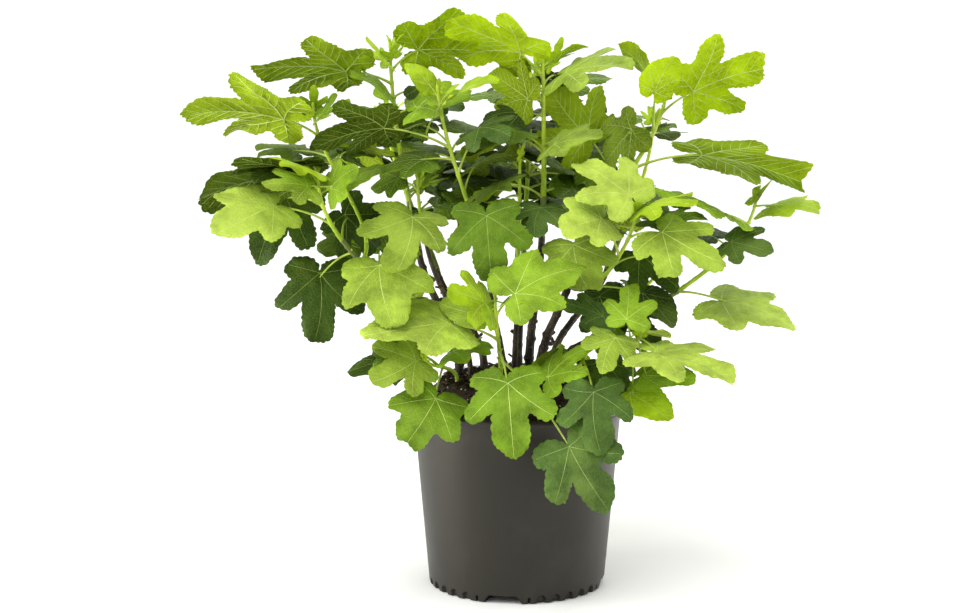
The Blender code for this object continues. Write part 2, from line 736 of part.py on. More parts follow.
def try_leaf(space, owner, start, leaf, seed, planned):
    """Set one leaf where it is clear, turned a little where it has to be.

    A planned leaf may brush the other leaves of its own shoot.
    """
    brushed = (owner,) if planned else ()
    for turn in TURNS:
        for tilt in TILTS:
            joint = start + direction(leaf.stalk[1] + turn / 2, leaf.stalk[2] + tilt / 2) * leaf.stalk[0] * CM
            frame = blade_frame(leaf.blade[1] + turn, leaf.blade[2] + tilt, leaf.lean)
            roomy = blade_solid(joint, frame, leaf, seed, BLADE_CLEAR)
            if space.touches(*roomy, skip=brushed):
                continue
            path = stalk_path(start, joint, frame, leaf, seed)
            wide = tube(path, [STALK_GIRTH / 2 + BLADE_CLEAR] * len(path), STALK_SIDES)
            if space.touches(*wide, skip=brushed + (owner + "_stem",)):
                continue
            radius = STALK_GIRTH / 2 * (STALK_SLENDER + STALK_STOUTER * leaf.blade[0] * CM)
            stalk = tube(path, taper(radius, radius * STALK_TIP, len(path)), STALK_SIDES)
            return blade_solid(joint, frame, leaf, seed), stalk, roomy, wide
    return None


def rule_leaves(shoot, name):
    """Leaves that the spiral rule gives a shoot, lower ones larger and more drooping."""
    chance = random.Random(name)
    fill = shoot.fill
    stalk_gain, blade_gain = RULE_RISE_BY_SHARE
    for index in range(fill.count):
        share = fill.low + (RULE_HIGHEST - fill.low) * (index + 0.5) / fill.count
        spin = (index * GOLDEN + chance.random() * RULE_JITTER) % 1.0
        heading = fill.arc[0] + fill.arc[1] * spin
        size = fill.size[0] + (fill.size[1] - fill.size[0]) * share
        size *= chance.uniform(*RULE_SIZES)
        length = size * chance.uniform(*RULE_STALKS)
        stalk = (length, heading, chance.uniform(*RULE_STALK_RISES) + stalk_gain * share)
        swing = chance.uniform(-RULE_BLADE_SWING, RULE_BLADE_SWING)
        blade = (size, heading + swing, chance.uniform(*RULE_BLADE_RISES) + blade_gain * share)
        behind = math.sin(math.radians(heading)) > 0.0
        lean = chance.uniform(*(RULE_LEANS_BEHIND if behind else RULE_LEANS_IN_FRONT))
        yield Leaf(share, stalk, blade, lean, "coarse")


def leaf_in_reach(solid):
    """Tell whether a leaf of the rule keeps to the crown and out of the open window."""
    points = solid[0]
    if not all(inside(point, REACH_LOW, REACH_HIGH) for point in points):
        return False
    return not any(inside(point, WINDOW_LOW, WINDOW_HIGH) for point in points)


def grow_leaves(name, leaves, path, space, planned):
    """Shapes of the leaves of one shoot that find room, planned ones or the rule's."""
    shapes = []
    kind = "planned" if planned else "rule"
    for number, leaf in enumerate(leaves):
        start, _ = place_along(path, leaf.node)
        made = try_leaf(space, name, start, leaf, f"{name}_{kind}_{number}", planned)
        if made is None:
            continue
        blade, stalk, roomy, wide = made
        if not planned and not leaf_in_reach(blade):
            continue
        space.add(*roomy, name)
        space.add(*wide, name)
        shapes += [blade, stalk]
    return shapes


# Fusing

def keep_main_body(thing):
    """Drop loose scraps and sealed hollows, and keep the largest closed body."""
    work = bmesh.new()
    work.from_mesh(thing.data)
    left = set(work.verts)
    bodies = []
    while left:
        queue = [left.pop()]
        body = set(queue)
        while queue:
            vert = queue.pop()
            for edge in vert.link_edges:
                other = edge.other_vert(vert)
                if other not in body:
                    body.add(other)
                    queue.append(other)
        left -= body
        bodies.append(body)
    bodies.sort(key=len, reverse=True)
    for body in bodies[1:]:
        bmesh.ops.delete(work, geom=list(body), context="VERTS")
    bmesh.ops.triangulate(work, faces=work.faces[:])
    work.to_mesh(thing.data)
    work.free()


def fuse(name, stem, shapes):
    """Join a shoot's stem with its leaves and stalks into one closed solid."""
    made = mesh_object(name, *stem)
    if shapes:
        group = bpy.data.collections.new(name + "_leaves")
        bpy.context.scene.collection.children.link(group)
        for index, (points, faces) in enumerate(shapes):
            mesh_object(f"{name}_{index}", points, faces, group)
        union = made.modifiers.new("union", "BOOLEAN")
        union.operation = "UNION"
        union.operand_type = "COLLECTION"
        union.collection = group
        union.solver = "EXACT"
        bake_modifiers(made)
        for piece in list(group.objects):
            bpy.data.objects.remove(piece)
        bpy.data.collections.remove(group)
    keep_main_body(made)
    return made


# Plant

def build_limbs(space):
    """Grow the stems and the bough, each a tapering tube clear of its parent."""
    grown = {}
    for name, limb in LIMBS.items():
        radii = [girth * CM / 2.0 for girth in limb.girth]
        tip = Vector(limb.tip) * CM
        parent = grown.get(limb.parent)
        start, first = limb_start(parent, limb.start, tip, radii[0])
        path = grown_path(start, first, tip, limb.upturn, STEM_RINGS)
        shape = tube(path, taper(radii[0], radii[1], STEM_RINGS), STEM_SIDES, first)
        made = mesh_object(name, *shape)
        made.data.shade_smooth()
        made.data.set_sharp_from_angle(angle=STEM_SMOOTH_ANGLE)
        made.data.materials.append(material(name + "_bark", "bark"))
        space.add(*shape, name)
        grown[name] = Grown(path, radii)
    return grown


def build_foliage(grown, space):
    """Grow every shoot with its leaves as one fused solid."""
    stems = {}
    for name, shoot in SHOOTS.items():
        tip = Vector(shoot.tip) * CM
        girth = shoot.girth * CM / 2.0
        start, first = limb_start(grown.get(shoot.parent), shoot.start, tip, girth)
        path = grown_path(start, first, tip, shoot.upturn, SHOOT_RINGS)
        radii = taper(girth, SHOOT_TIP_GIRTH / 2.0, SHOOT_RINGS)
        shape = tube(path, radii, SHOOT_SIDES, first, pointed=True)
        space.add(*shape, name + "_stem")
        stems[name] = (path, shape)
    leaves = {}
    for name, shoot in SHOOTS.items():
        leaves[name] = grow_leaves(name, shoot.leaves, stems[name][0], space, True)
    for name, shoot in SHOOTS.items():
        path = stems[name][0]
        leaves[name] += grow_leaves(name, rule_leaves(shoot, name), path, space, False)
    for name, (_, shape) in stems.items():
        made = fuse(name, shape, leaves[name])
        made.data.materials.clear()
        made.data.materials.append(material(name + "_leaf", "leaf"))


def main():
    """Build the pot, the soil and the whole plant."""
    for thing in list(bpy.data.objects):
        bpy.data.objects.remove(thing)
    space = Space()
    for thing in (build_pot(), build_soil()):
        points = [vert.co.copy() for vert in thing.data.vertices]
        faces = [tuple(face.vertices) for face in thing.data.polygons]
        space.add(points, faces, thing.name)
    build_foliage(build_limbs(space), space)


main()
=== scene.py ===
"""Looks of a young fig tree with many stems in a round nursery pot.

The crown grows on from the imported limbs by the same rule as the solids: every
shoot, stalk and blade is worked out again from its named sizes, checked against
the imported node, and then carried to a fine leaf with lobes, veins and a wavy
margin. Pot, soil and bark are modelled round the same sizes.
"""

from __future__ import annotations

import json
import logging
import math
import random
from dataclasses import dataclass, field
from enum import Enum
from typing import Iterator, NamedTuple, Sequence

import bpy
import numpy as np
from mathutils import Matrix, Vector, noise
from mathutils.bvhtree import BVHTree
from mathutils.geometry import delaunay_2d_cdt

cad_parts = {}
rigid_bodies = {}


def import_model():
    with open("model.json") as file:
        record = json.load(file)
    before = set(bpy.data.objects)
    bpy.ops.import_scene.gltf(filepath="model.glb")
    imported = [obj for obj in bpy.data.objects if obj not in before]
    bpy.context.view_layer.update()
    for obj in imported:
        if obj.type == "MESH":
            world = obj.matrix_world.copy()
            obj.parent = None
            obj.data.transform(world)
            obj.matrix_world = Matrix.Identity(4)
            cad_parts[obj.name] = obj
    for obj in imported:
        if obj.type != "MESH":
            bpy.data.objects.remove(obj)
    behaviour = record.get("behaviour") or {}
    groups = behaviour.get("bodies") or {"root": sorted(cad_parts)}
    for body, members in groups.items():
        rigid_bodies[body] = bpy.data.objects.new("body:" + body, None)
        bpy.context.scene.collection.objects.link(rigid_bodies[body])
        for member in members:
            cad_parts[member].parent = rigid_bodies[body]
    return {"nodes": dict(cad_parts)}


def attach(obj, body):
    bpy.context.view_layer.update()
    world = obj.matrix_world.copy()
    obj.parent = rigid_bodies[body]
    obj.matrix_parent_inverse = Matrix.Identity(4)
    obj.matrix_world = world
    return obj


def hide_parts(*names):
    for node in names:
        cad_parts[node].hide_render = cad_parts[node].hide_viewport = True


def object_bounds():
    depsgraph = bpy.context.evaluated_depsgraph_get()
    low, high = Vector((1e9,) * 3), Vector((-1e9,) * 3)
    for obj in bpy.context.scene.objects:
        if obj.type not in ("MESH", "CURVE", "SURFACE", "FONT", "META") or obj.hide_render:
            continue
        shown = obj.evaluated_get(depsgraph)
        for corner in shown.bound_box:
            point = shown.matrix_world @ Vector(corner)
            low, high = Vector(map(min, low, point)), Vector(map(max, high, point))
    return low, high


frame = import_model()
CAD_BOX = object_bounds()

log = logging.getLogger("fig_tree")

Colour = tuple[float, float, float]
Flat = tuple[float, float]

CM = 0.01
GAP = 0.0003
ROOT = "root"
UP = Vector((0.0, 0.0, 1.0))
FRONT = Vector((0.0, -1.0, 0.0))
GOLDEN = 0.381966
GOLDEN_TURN = 137.5
FULL_TURN = 2.0 * math.pi
ANY_PHASE = 6.3
TINY = 1e-12


class Tint(Enum):
    """The greens that leaves are dealt, by age and by how they stand to the light."""

    LIME = "lime"
    PALE = "pale"
    SUNNY = "sunny"
    FRESH = "fresh"
    MEADOW = "meadow"
    GREEN = "green"
    GREY = "grey"
    OLIVE = "olive"
    DEEP = "deep"


class Form(Enum):
    """The outlines a blade can have."""

    LOBED = "lobed"
    BROAD = "broad"
    COARSE = "coarse"
    PLAIN = "plain"
    YOUNG = "young"


class Limb(NamedTuple):
    """A stem from the soil, or a bough that starts on another limb."""

    parent: str | None
    start: tuple[float, ...]
    tip: tuple[float, float, float]
    girth: tuple[float, float]
    upturn: float = 0.5


class Leaf(NamedTuple):
    """One leaf: its node on the shoot, its stalk, and how its blade lies."""

    node: float
    stalk: tuple[float, float, float]
    blade: tuple[float, float, float]
    lean: float
    tint: Tint
    form: Form = Form.LOBED


class Fill(NamedTuple):
    """Leaves set by the spiral rule: how many, the arc they keep to, and sizes."""

    count: int
    arc: tuple[float, float]
    size: tuple[float, float]
    low: float = 0.2


class Shoot(NamedTuple):
    """A mass of foliage: one green shoot, its leaves, and the limb that bears it."""

    parent: str | None
    start: tuple[float, ...]
    tip: tuple[float, float, float]
    girth: float
    upturn: float
    group: str
    leaves: tuple[Leaf, ...]
    fill: Fill


# A start on the soil is x, y in cm. A start on a limb is the fraction of its length.
LIMBS: dict[str, Limb] = {
    "stem_left": Limb(None, (-7.0, 2.0), (-12.0, 4.5, 40.5), (1.0, 0.8), 0.7),
    "stem_left_inner": Limb(None, (-5.6, -0.6), (-10.9, 0.0, 41.5), (0.64, 0.5)),
    "stem_centre_left": Limb(None, (-1.6, 0.2), (-3.2, 0.0, 35.5), (0.8, 0.6)),
    "stem_centre": Limb(None, (-0.3, 2.0), (0.0, 1.2, 34.0), (0.7, 0.6)),
    "stem_middle": Limb(None, (1.5, 3.0), (3.0, 3.2, 42.0), (1.1, 0.8), 0.7),
    "stem_middle_right": Limb(None, (2.7, 0.8), (6.6, -0.8, 38.3), (1.1, 0.86), 0.35),
    "stem_right": Limb(None, (5.0, 1.2), (15.8, 0.0, 33.2), (0.84, 0.6), 0.25),
    "stem_back_left": Limb(None, (-4.0, 5.2), (-10.0, 12.5, 37.0), (0.9, 0.7)),
    "stem_back": Limb(None, (0.3, 6.4), (1.0, 12.5, 39.0), (0.9, 0.7)),
    "stem_back_right": Limb(None, (4.4, 5.4), (11.5, 12.0, 37.0), (0.9, 0.7)),
    "bough_left": Limb("stem_left", (0.55,), (-19.4, -2.4, 40.4), (0.74, 0.6), 0.35),
}

# Each planned leaf's tint follows how light falls on it as well as its age: lime and sunny greens are painted
# light, deep and olive greens painted shade.
SHOOTS: dict[str, Shoot] = {
    "foliage_top_left": Shoot(
        "stem_left", (1.0,), (-15.3, 5.0, 64.6), 0.8, 0.9, "left",
        (
            Leaf(0.82, (6.0, -160, 16), (11.4, -162, -2), -24, Tint.GREEN),
            Leaf(0.88, (6.0, 55, 25), (9.8, -6, -1), -36, Tint.LIME),
            Leaf(0.93, (2.2, -105, 8), (4.2, -133, 11), 50, Tint.LIME, Form.YOUNG),
            Leaf(0.74, (3.4, -104, 20), (5.5, -143, 25), 30, Tint.FRESH),
            Leaf(0.66, (4.5, -50, 15), (6.8, -8, 12), 26, Tint.FRESH, Form.BROAD),
            Leaf(0.30, (10.3, -84, -14), (8.2, -106, -45), 70, Tint.SUNNY),
        ),
        Fill(5, (20, 150), (9.0, 6.5)),
    ),
    "foliage_left_high": Shoot(
        "bough_left", (0.9,), (-24.3, 1.0, 57.4), 0.5, 0.9, "left",
        (
            Leaf(0.83, (4.8, -166, 28), (11.5, -166, 3), -22, Tint.GREEN),
            Leaf(0.98, (0.8, 90, 60), (3.0, -84, 62), 70, Tint.LIME, Form.YOUNG),
            Leaf(0.95, (1.3, -56, 12), (4.0, -15, 21), 30, Tint.FRESH, Form.YOUNG),
            Leaf(0.95, (1.5, -125, 19), (2.8, -149, 27), 30, Tint.LIME, Form.YOUNG),
            Leaf(0.25, (2.0, -10, 4), (5.8, 0, 16), 6, Tint.DEEP, Form.PLAIN),
        ),
        Fill(3, (20, 140), (8.0, 6.0), 0.3),
    ),
    "foliage_left": Shoot(
        "bough_left", (1.0,), (-23.2, -7.0, 49.7), 0.6, 0.9, "left",
        (
            Leaf(0.45, (7.7, -155, 20), (8.2, -142, -20), 48, Tint.PALE, Form.BROAD),
            Leaf(0.75, (5.5, 127, 30), (12.0, -170, -12), -22, Tint.DEEP, Form.BROAD),
            Leaf(0.70, (5.6, 150, 12), (8.8, -140, -62), 70, Tint.DEEP),
            Leaf(0.96, (2.4, -160, 60), (5.6, -132, 20), 40, Tint.LIME, Form.BROAD),
            Leaf(0.92, (3.0, -112, 8), (5.8, -148, 3), 35, Tint.SUNNY),
            Leaf(0.94, (1.8, -35, -7), (4.8, -32, 34), 50, Tint.FRESH, Form.BROAD),
            Leaf(0.85, (3.7, 56, 10), (6.5, 19, 19), 10, Tint.FRESH, Form.PLAIN),
            Leaf(0.03, (4.8, 166, -32), (8.2, -104, -76), 55, Tint.DEEP),
            Leaf(0.22, (5.4, 83, 20), (6.0, 10, -62), 60, Tint.DEEP),
        ),
        Fill(2, (40, 120), (7.0, 6.0), 0.3),
    ),
    "foliage_inner_left": Shoot(
        "stem_left_inner", (1.0,), (-11.9, 0.2, 48.5), 0.5, 0.8, "left",
        (
            Leaf(0.2, (9.8, -122, -18), (8.2, -70, -52), 75, Tint.SUNNY, Form.BROAD),
        ),
        Fill(5, (0, 200), (8.5, 6.5)),
    ),
    "foliage_centre_left": Shoot(
        "stem_centre_left", (1.0,), (-9.4, -3.0, 59.6), 0.6, 0.5, "middle",
        (
            Leaf(0.73, (8.4, -164, 18), (8.8, -170, -17), -32, Tint.DEEP),
            Leaf(0.60, (6.8, -50, 56), (6.0, -50, -8), 45, Tint.GREY),
            Leaf(0.88, (2.6, -96, 30), (5.0, -112, -48), -40, Tint.GREEN),
            Leaf(0.97, (1.8, 178, 55), (3.8, 175, 45), 40, Tint.LIME, Form.PLAIN),
            Leaf(0.93, (2.8, 0, 37), (5.0, -25, 16), 20, Tint.LIME, Form.PLAIN),
            Leaf(0.50, (3.4, 60, 60), (6.6, 22, 14), -20, Tint.OLIVE),
        ),
        Fill(6, (20, 150), (9.0, 6.5), 0.35),
    ),
    "foliage_top": Shoot(
        "stem_middle", (1.0,), (3.1, 3.0, 62.8), 0.8, 0.9, "middle",
        (
            Leaf(0.90, (4.6, -151, 47), (9.6, -164, 20), -24, Tint.LIME),
            Leaf(0.98, (1.6, 0, 33), (4.4, -15, 22), -20, Tint.LIME, Form.YOUNG),
            Leaf(0.83, (4.7, -50, 33), (8.4, -30, 7), 28, Tint.SUNNY),
            Leaf(0.78, (2.2, -150, 10), (6.0, 150, 30), -60, Tint.GREEN),
            Leaf(0.22, (8.5, -140, 17), (6.8, -154, -32), -14, Tint.OLIVE),
            Leaf(0.52, (5.1, -78, 7), (6.2, -33, 10), 30, Tint.SUNNY, Form.BROAD),
            Leaf(0.50, (6.4, -128, 24), (5.8, -144, -18), 15, Tint.OLIVE, Form.BROAD),
        ),
        Fill(7, (10, 160), (9.0, 6.5)),
    ),
    "foliage_centre": Shoot(
        "stem_centre", (1.0,), (0.3, 2.2, 52.0), 0.6, 0.6, "middle",
        (
            Leaf(0.72, (11.4, -114, -2), (7.8, -64, -74), 84, Tint.GREEN),
            Leaf(0.66, (5.4, -63, 2), (5.4, -101, -34), 55, Tint.GREY),
        ),
        Fill(4, (20, 140), (8.0, 6.5), 0.5),
    ),
    "foliage_top_right": Shoot(
        "stem_middle_right", (1.0,), (18.0, 3.0, 60.4), 0.86, 0.85, "right",
        (
            Leaf(0.85, (4.8, -15, 36), (9.0, -14, 19), -46, Tint.LIME),
            Leaf(0.76, (5.7, -92, 60), (5.4, -50, 52), -50, Tint.LIME, Form.PLAIN),
            Leaf(0.94, (3.8, 130, 39), (5.8, 135, 32), -40, Tint.LIME, Form.PLAIN),
            Leaf(0.55, (8.8, -13, 13), (12.2, -10, -14), -15, Tint.GREEN, Form.BROAD),
            Leaf(0.66, (3.9, -126, 44), (6.4, -130, -36), -60, Tint.OLIVE),
            Leaf(0.45, (7.6, 135, 49), (8.0, 142, 44), -70, Tint.GREEN),
        ),
        Fill(6, (40, 130), (9.0, 6.5)),
    ),
    "foliage_right": Shoot(
        "stem_middle_right", (0.86,), (13.7, -8.0, 46.6), 0.6, 0.8, "right",
        (
            Leaf(0.97, (3.5, -112, 38), (7.2, 150, 28), 36, Tint.PALE),
            Leaf(0.98, (1.8, -50, 22), (6.4, -38, 5), 20, Tint.LIME),
            Leaf(0.92, (3.2, 12, -4), (5.6, 0, 1), 10, Tint.GREEN, Form.BROAD),
            Leaf(0.75, (5.8, -50, 13), (8.6, -27, -25), 36, Tint.SUNNY),
            Leaf(0.60, (7.0, -118, 44), (5.8, -146, -10), 55, Tint.PALE, Form.BROAD),
            Leaf(0.35, (5.3, -165, 50), (6.8, -72, -46), 60, Tint.SUNNY, Form.BROAD),
            Leaf(0.45, (5.4, 42, 16), (6.4, -30, -38), 45, Tint.DEEP),
            Leaf(0.15, (6.9, -6, -3), (6.0, -44, -37), 15, Tint.DEEP, Form.PLAIN),
        ),
        Fill(2, (60, 100), (8.0, 6.5), 0.3),
    ),
    "foliage_far_right": Shoot(
        "stem_right", (1.0,), (28.4, 0.0, 46.4), 0.6, 0.75, "right",
        (
            Leaf(0.85, (3.4, -152, 22), (10.0, -164, 18), 5, Tint.FRESH),
            Leaf(0.97, (2.4, -28, 4), (5.8, -30, 2), 15, Tint.LIME, Form.BROAD),
            Leaf(0.97, (1.2, 60, 50), (4.2, 30, 40), -10, Tint.LIME, Form.YOUNG),
            Leaf(0.78, (4.6, -112, -6), (5.4, -31, -10), 40, Tint.GREY),
            Leaf(0.22, (5.6, -19, -9), (9.6, -26, -16), 20, Tint.PALE, Form.BROAD),
        ),
        Fill(3, (50, 90), (7.5, 6.0), 0.45),
    ),
    "foliage_low_right": Shoot(
        "stem_right", (0.5,), (14.2, -8.0, 31.6), 0.5, 0.5, "right",
        (
            Leaf(0.70, (7.6, -103, 16), (6.0, -112, -36), 70, Tint.SUNNY),
            Leaf(0.80, (7.2, -99, 32), (4.8, 84, 46), 50, Tint.FRESH),
            Leaf(0.95, (6.5, -77, -5), (9.7, -22, -14), 10, Tint.PALE),
            Leaf(0.97, (4.8, -84, -60), (6.6, -26, 2), 28, Tint.FRESH, Form.PLAIN),
            Leaf(0.93, (6.8, -107, -58), (6.4, -44, -21), 45, Tint.LIME, Form.PLAIN),
            Leaf(0.50, (5.2, -118, 50), (5.6, -168, 18), 30, Tint.GREY),
            Leaf(0.40, (6.6, 105, 52), (6.2, -56, -41), 60, Tint.DEEP),
        ),
        Fill(3, (20, 120), (7.0, 6.0), 0.4),
    ),
    "foliage_front": Shoot(
        None, (-2.0, -5.0), (-2.7, -10.0, 36.4), 0.55, 0.85, "front",
        (
            Leaf(0.50, (6.6, -161, 21), (10.6, -157, -5), 27, Tint.PALE, Form.BROAD),
            Leaf(0.97, (1.5, -140, -5), (6.2, -140, 20), 50, Tint.LIME),
            Leaf(0.97, (2.1, -70, -5), (4.2, -50, 12), 30, Tint.LIME, Form.YOUNG),
            Leaf(0.80, (5.9, -64, 38), (8.8, 15, 27), 38, Tint.FRESH, Form.BROAD),
            Leaf(0.35, (8.9, -84, -14), (8.8, -78, -68), 85, Tint.MEADOW),
            Leaf(0.75, (1.8, -160, 19), (6.0, 150, 10), 40, Tint.SUNNY, Form.PLAIN),
            Leaf(0.25, (16.2, -57, -29), (8.6, -33, -52), 85, Tint.GREY),
        ),
        Fill(0, (0, 0), (0.0, 0.0)),
    ),
    "foliage_low_left": Shoot(
        None, (-7.2, -4.2), (-10.9, -9.0, 29.0), 0.45, 0.3, "front",
        (
            Leaf(0.97, (1.7, -131, 5), (7.0, -140, -16), 60, Tint.SUNNY),
            Leaf(0.55, (2.4, -12, 52), (5.0, -32, 6), 20, Tint.FRESH, Form.BROAD),
            Leaf(0.90, (5.4, 164, -4), (4.6, -165, -16), 20, Tint.DEEP, Form.PLAIN),
            Leaf(0.50, (6.4, -97, -24), (7.0, -127, -40), 60, Tint.MEADOW, Form.BROAD),
        ),
        Fill(2, (100, 100), (6.0, 5.5), 0.5),
    ),
    "foliage_low_front": Shoot(
        None, (4.6, -5.4), (7.6, -9.2, 29.0), 0.45, 0.4, "front",
        (
            Leaf(0.95, (7.9, -83, -16), (7.2, -76, -66), 80, Tint.GREY),
            Leaf(0.55, (5.2, -122, -10), (6.8, 14, 16), 16, Tint.FRESH),
            Leaf(0.30, (1.6, -100, 46), (5.2, -138, -20), -60, Tint.OLIVE, Form.PLAIN),
        ),
        Fill(0, (0, 0), (0.0, 0.0)),
    ),
    "foliage_back_left": Shoot(
        "stem_back_left", (1.0,), (-16.5, 19.0, 56.0), 0.7, 0.85, "back", (),
        Fill(9, (-20, 270), (10.0, 6.5), 0.12),
    ),
    "foliage_back": Shoot(
        "stem_back", (1.0,), (2.0, 17.0, 60.0), 0.7, 0.85, "back", (),
        Fill(9, (-40, 260), (10.0, 6.5), 0.12),
    ),
    "foliage_back_right": Shoot(
        "stem_back_right", (1.0,), (17.5, 17.0, 55.0), 0.7, 0.85, "back", (),
        Fill(9, (-80, 260), (10.0, 6.5), 0.12),
    ),
    "foliage_back_low_left": Shoot(
        "stem_back_left", (0.6,), (-20.0, 13.5, 41.0), 0.55, 0.7, "back", (),
        Fill(7, (50, 190), (9.0, 6.5), 0.35),
    ),
    "foliage_back_low": Shoot(
        "stem_back", (0.5,), (1.0, 25.0, 49.0), 0.55, 0.7, "back", (),
        Fill(7, (-30, 240), (9.5, 7.0), 0.55),
    ),
    "foliage_back_low_right": Shoot(
        "stem_back_right", (0.6,), (20.5, 14.5, 40.5), 0.55, 0.7, "back", (),
        Fill(7, (-60, 190), (9.0, 6.5), 0.35),
    ),
}

# Sizes of the rule that the solids grow by
SOIL_TOP = 0.255
STEM_RINGS = 7
SHOOT_RINGS = 7
SHOOT_TIP_GIRTH = 0.0034
STALK_ARCH = 0.06
STALK_GIRTH = 0.0032
STALK_SINK = 0.006
STALK_SLENDER = 0.7
STALK_STOUTER = 3.0
EDGE_ON = 0.05
TURNS = (0, 7, -7, 14, -14, 21, -21, 30, -30)
TILTS = (0, 8, -8, 16, -16)
RULE_HIGHEST = 0.97
RULE_JITTER = 0.12
RULE_SIZES = (0.88, 1.12)
RULE_STALKS = (0.45, 0.80)
RULE_STALK_RISES = (0.0, 25.0)
RULE_BLADE_SWING = 25.0
RULE_BLADE_RISES = (-42.0, -8.0)
RULE_RISE_BY_SHARE = (25.0, 30.0)
RULE_LEANS_BEHIND = (-15.0, 35.0)
RULE_LEANS_IN_FRONT = (15.0, 55.0)
# The rule's leaves stand mostly inside and behind the crown, so they are dealt dark greens as painted shade.
RULE_TINTS = (Tint.GREEN, Tint.DEEP, Tint.OLIVE, Tint.GREEN, Tint.DEEP)

# Where the sky shows through the crown from the front: left, bottom, right and top in metres
SKY: tuple[tuple[float, float, float, float], ...] = (
    (-0.100, 0.262, 0.062, 0.415),
    (0.190, 0.310, 0.245, 0.365),
    (0.265, 0.360, 0.345, 0.455),
    (0.200, 0.545, 0.300, 0.600),
    (-0.259, 0.579, -0.166, 0.615),
    (-0.304, 0.529, -0.251, 0.562),
    (0.146, 0.485, 0.259, 0.523),
    (0.104, 0.360, 0.217, 0.417),
    (-0.280, 0.417, -0.241, 0.458),
    (-0.209, 0.343, -0.176, 0.373),
    (0.213, 0.440, 0.262, 0.478),
    (-0.218, 0.437, -0.165, 0.474),
)

# Half outlines as angle from the midrib and reach in blade lengths, tip to foot
HALVES: dict[Form, tuple[tuple[float, float], ...]] = {
    Form.LOBED: (
        (0, 1.0), (11, 0.93), (20, 0.72), (27, 0.48), (42, 0.77), (54, 0.76), (65, 0.56),
        (77, 0.43), (96, 0.53), (118, 0.51), (150, 0.34), (180, 0.06),
    ),
    Form.BROAD: (
        (0, 1.0), (13, 0.90), (28, 0.60), (42, 0.75), (56, 0.72), (78, 0.49),
        (102, 0.55), (128, 0.49), (155, 0.33), (180, 0.06),
    ),
    Form.COARSE: ((0, 1.0), (26, 0.55), (48, 0.78), (77, 0.48), (110, 0.52), (180, 0.06)),
    Form.PLAIN: ((0, 1.0), (15, 0.85), (36, 0.62), (66, 0.45), (110, 0.32), (180, 0.05)),
    Form.YOUNG: (
        (0, 1.0), (12, 0.76), (27, 0.34), (40, 0.72), (50, 0.72), (76, 0.30),
        (104, 0.46), (180, 0.06),
    ),
}
# The same half outlines drawn finer, with spoon-shaped lobes and narrow bays
FINE_HALVES: dict[Form, tuple[tuple[float, float], ...]] = {
    Form.LOBED: (
        (0, 1.0), (8, 0.97), (15, 0.86), (20, 0.69), (24, 0.55), (28, 0.49), (32, 0.58), (38, 0.73),
        (47, 0.80), (57, 0.76), (64, 0.64), (70, 0.50), (76, 0.42), (82, 0.46), (92, 0.53), (106, 0.52),
        (122, 0.44), (143, 0.29), (163, 0.14), (180, 0.04),
    ),
    Form.BROAD: (
        (0, 1.0), (10, 0.96), (20, 0.82), (27, 0.67), (32, 0.65), (39, 0.74), (48, 0.79), (58, 0.74),
        (68, 0.61), (77, 0.50), (86, 0.52), (100, 0.56), (118, 0.50), (140, 0.35), (163, 0.17), (180, 0.04),
    ),
    Form.PLAIN: (
        (0, 1.0), (9, 0.93), (22, 0.77), (36, 0.63), (52, 0.54), (70, 0.46), (95, 0.38), (125, 0.30),
        (155, 0.20), (180, 0.05),
    ),
    Form.YOUNG: (
        (0, 1.0), (7, 0.92), (14, 0.74), (20, 0.50), (27, 0.34), (34, 0.52), (42, 0.74), (50, 0.73),
        (60, 0.52), (74, 0.31), (90, 0.42), (108, 0.47), (135, 0.32), (160, 0.16), (180, 0.06),
    ),
}
# Angle and reach of the lobes that main veins run to, beside the midrib
LOBE_ENDS: dict[Form, tuple[tuple[float, float], ...]] = {
    Form.LOBED: ((47, 0.77), (103, 0.49)),
    Form.BROAD: ((48, 0.76), (105, 0.51)),
    Form.PLAIN: ((38, 0.60), (92, 0.36)),
    Form.YOUNG: ((46, 0.70), (106, 0.44)),
}
ARCH = (0.16, 0.34)
CUP = {
    Form.LOBED: (0.08, 0.30), Form.BROAD: (0.06, 0.26), Form.COARSE: (0.08, 0.30),
    Form.PLAIN: (-0.25, 0.15), Form.YOUNG: (-0.50, -0.10),
}
OPEN_FOLD = (0.0, 0.08)
CLOSED_FOLD = (0.34, 0.48)
TWIST = 0.12
LOBE_SPREAD = 0.10
LOBE_SWING = 3.0


# Curves

def direction(heading: float, rise: float) -> Vector:
    """Unit vector of a heading and a rise in degrees."""
    turn, climb = math.radians(heading), math.radians(rise)
    return Vector((math.cos(climb) * math.cos(turn), math.cos(climb) * math.sin(turn), math.sin(climb)))


def grown_path(start: Vector, first: Vector, tip: Vector, upturn: float, count: int) -> list[Vector]:
    """Work out the path of a limb that leaves along first and turns up to its tip.

    Args:
        start: Foot of the limb.
        first: Direction in which it leaves.
        tip: Its end.
        upturn: How far its end stands upright, from 0 to 1.
        count: Number of points.

    Returns:
        The points of the path.
    """
    run = tip - start
    last = (run.normalized() * (1.0 - upturn) + UP * upturn).normalized()
    reach = run.length / 3.0
    leave, arrive = start + first.normalized() * reach, tip - last * reach
    path = []
    for step in range(count):
        share = step / (count - 1)
        rest = 1.0 - share
        path.append(start * rest**3 + leave * 3.0 * rest * rest * share
                    + arrive * 3.0 * rest * share * share + tip * share**3)
    return path


def place_along(path: Sequence[Vector], share: float) -> tuple[Vector, Vector]:
    """Find the point and the direction at a share of a path's length.

    Args:
        path: Points of the path.
        share: Part of its length, from 0 to 1.

    Returns:
        The point and the unit direction there.
    """
    lengths = [(b - a).length for a, b in zip(path, path[1:])]
    want = share * sum(lengths)
    for a, b, length in zip(path, path[1:], lengths):
        if want <= length:
            return a + (b - a) * (want / length), (b - a).normalized()
        want -= length
    return path[-1].copy(), (path[-1] - path[-2]).normalized()


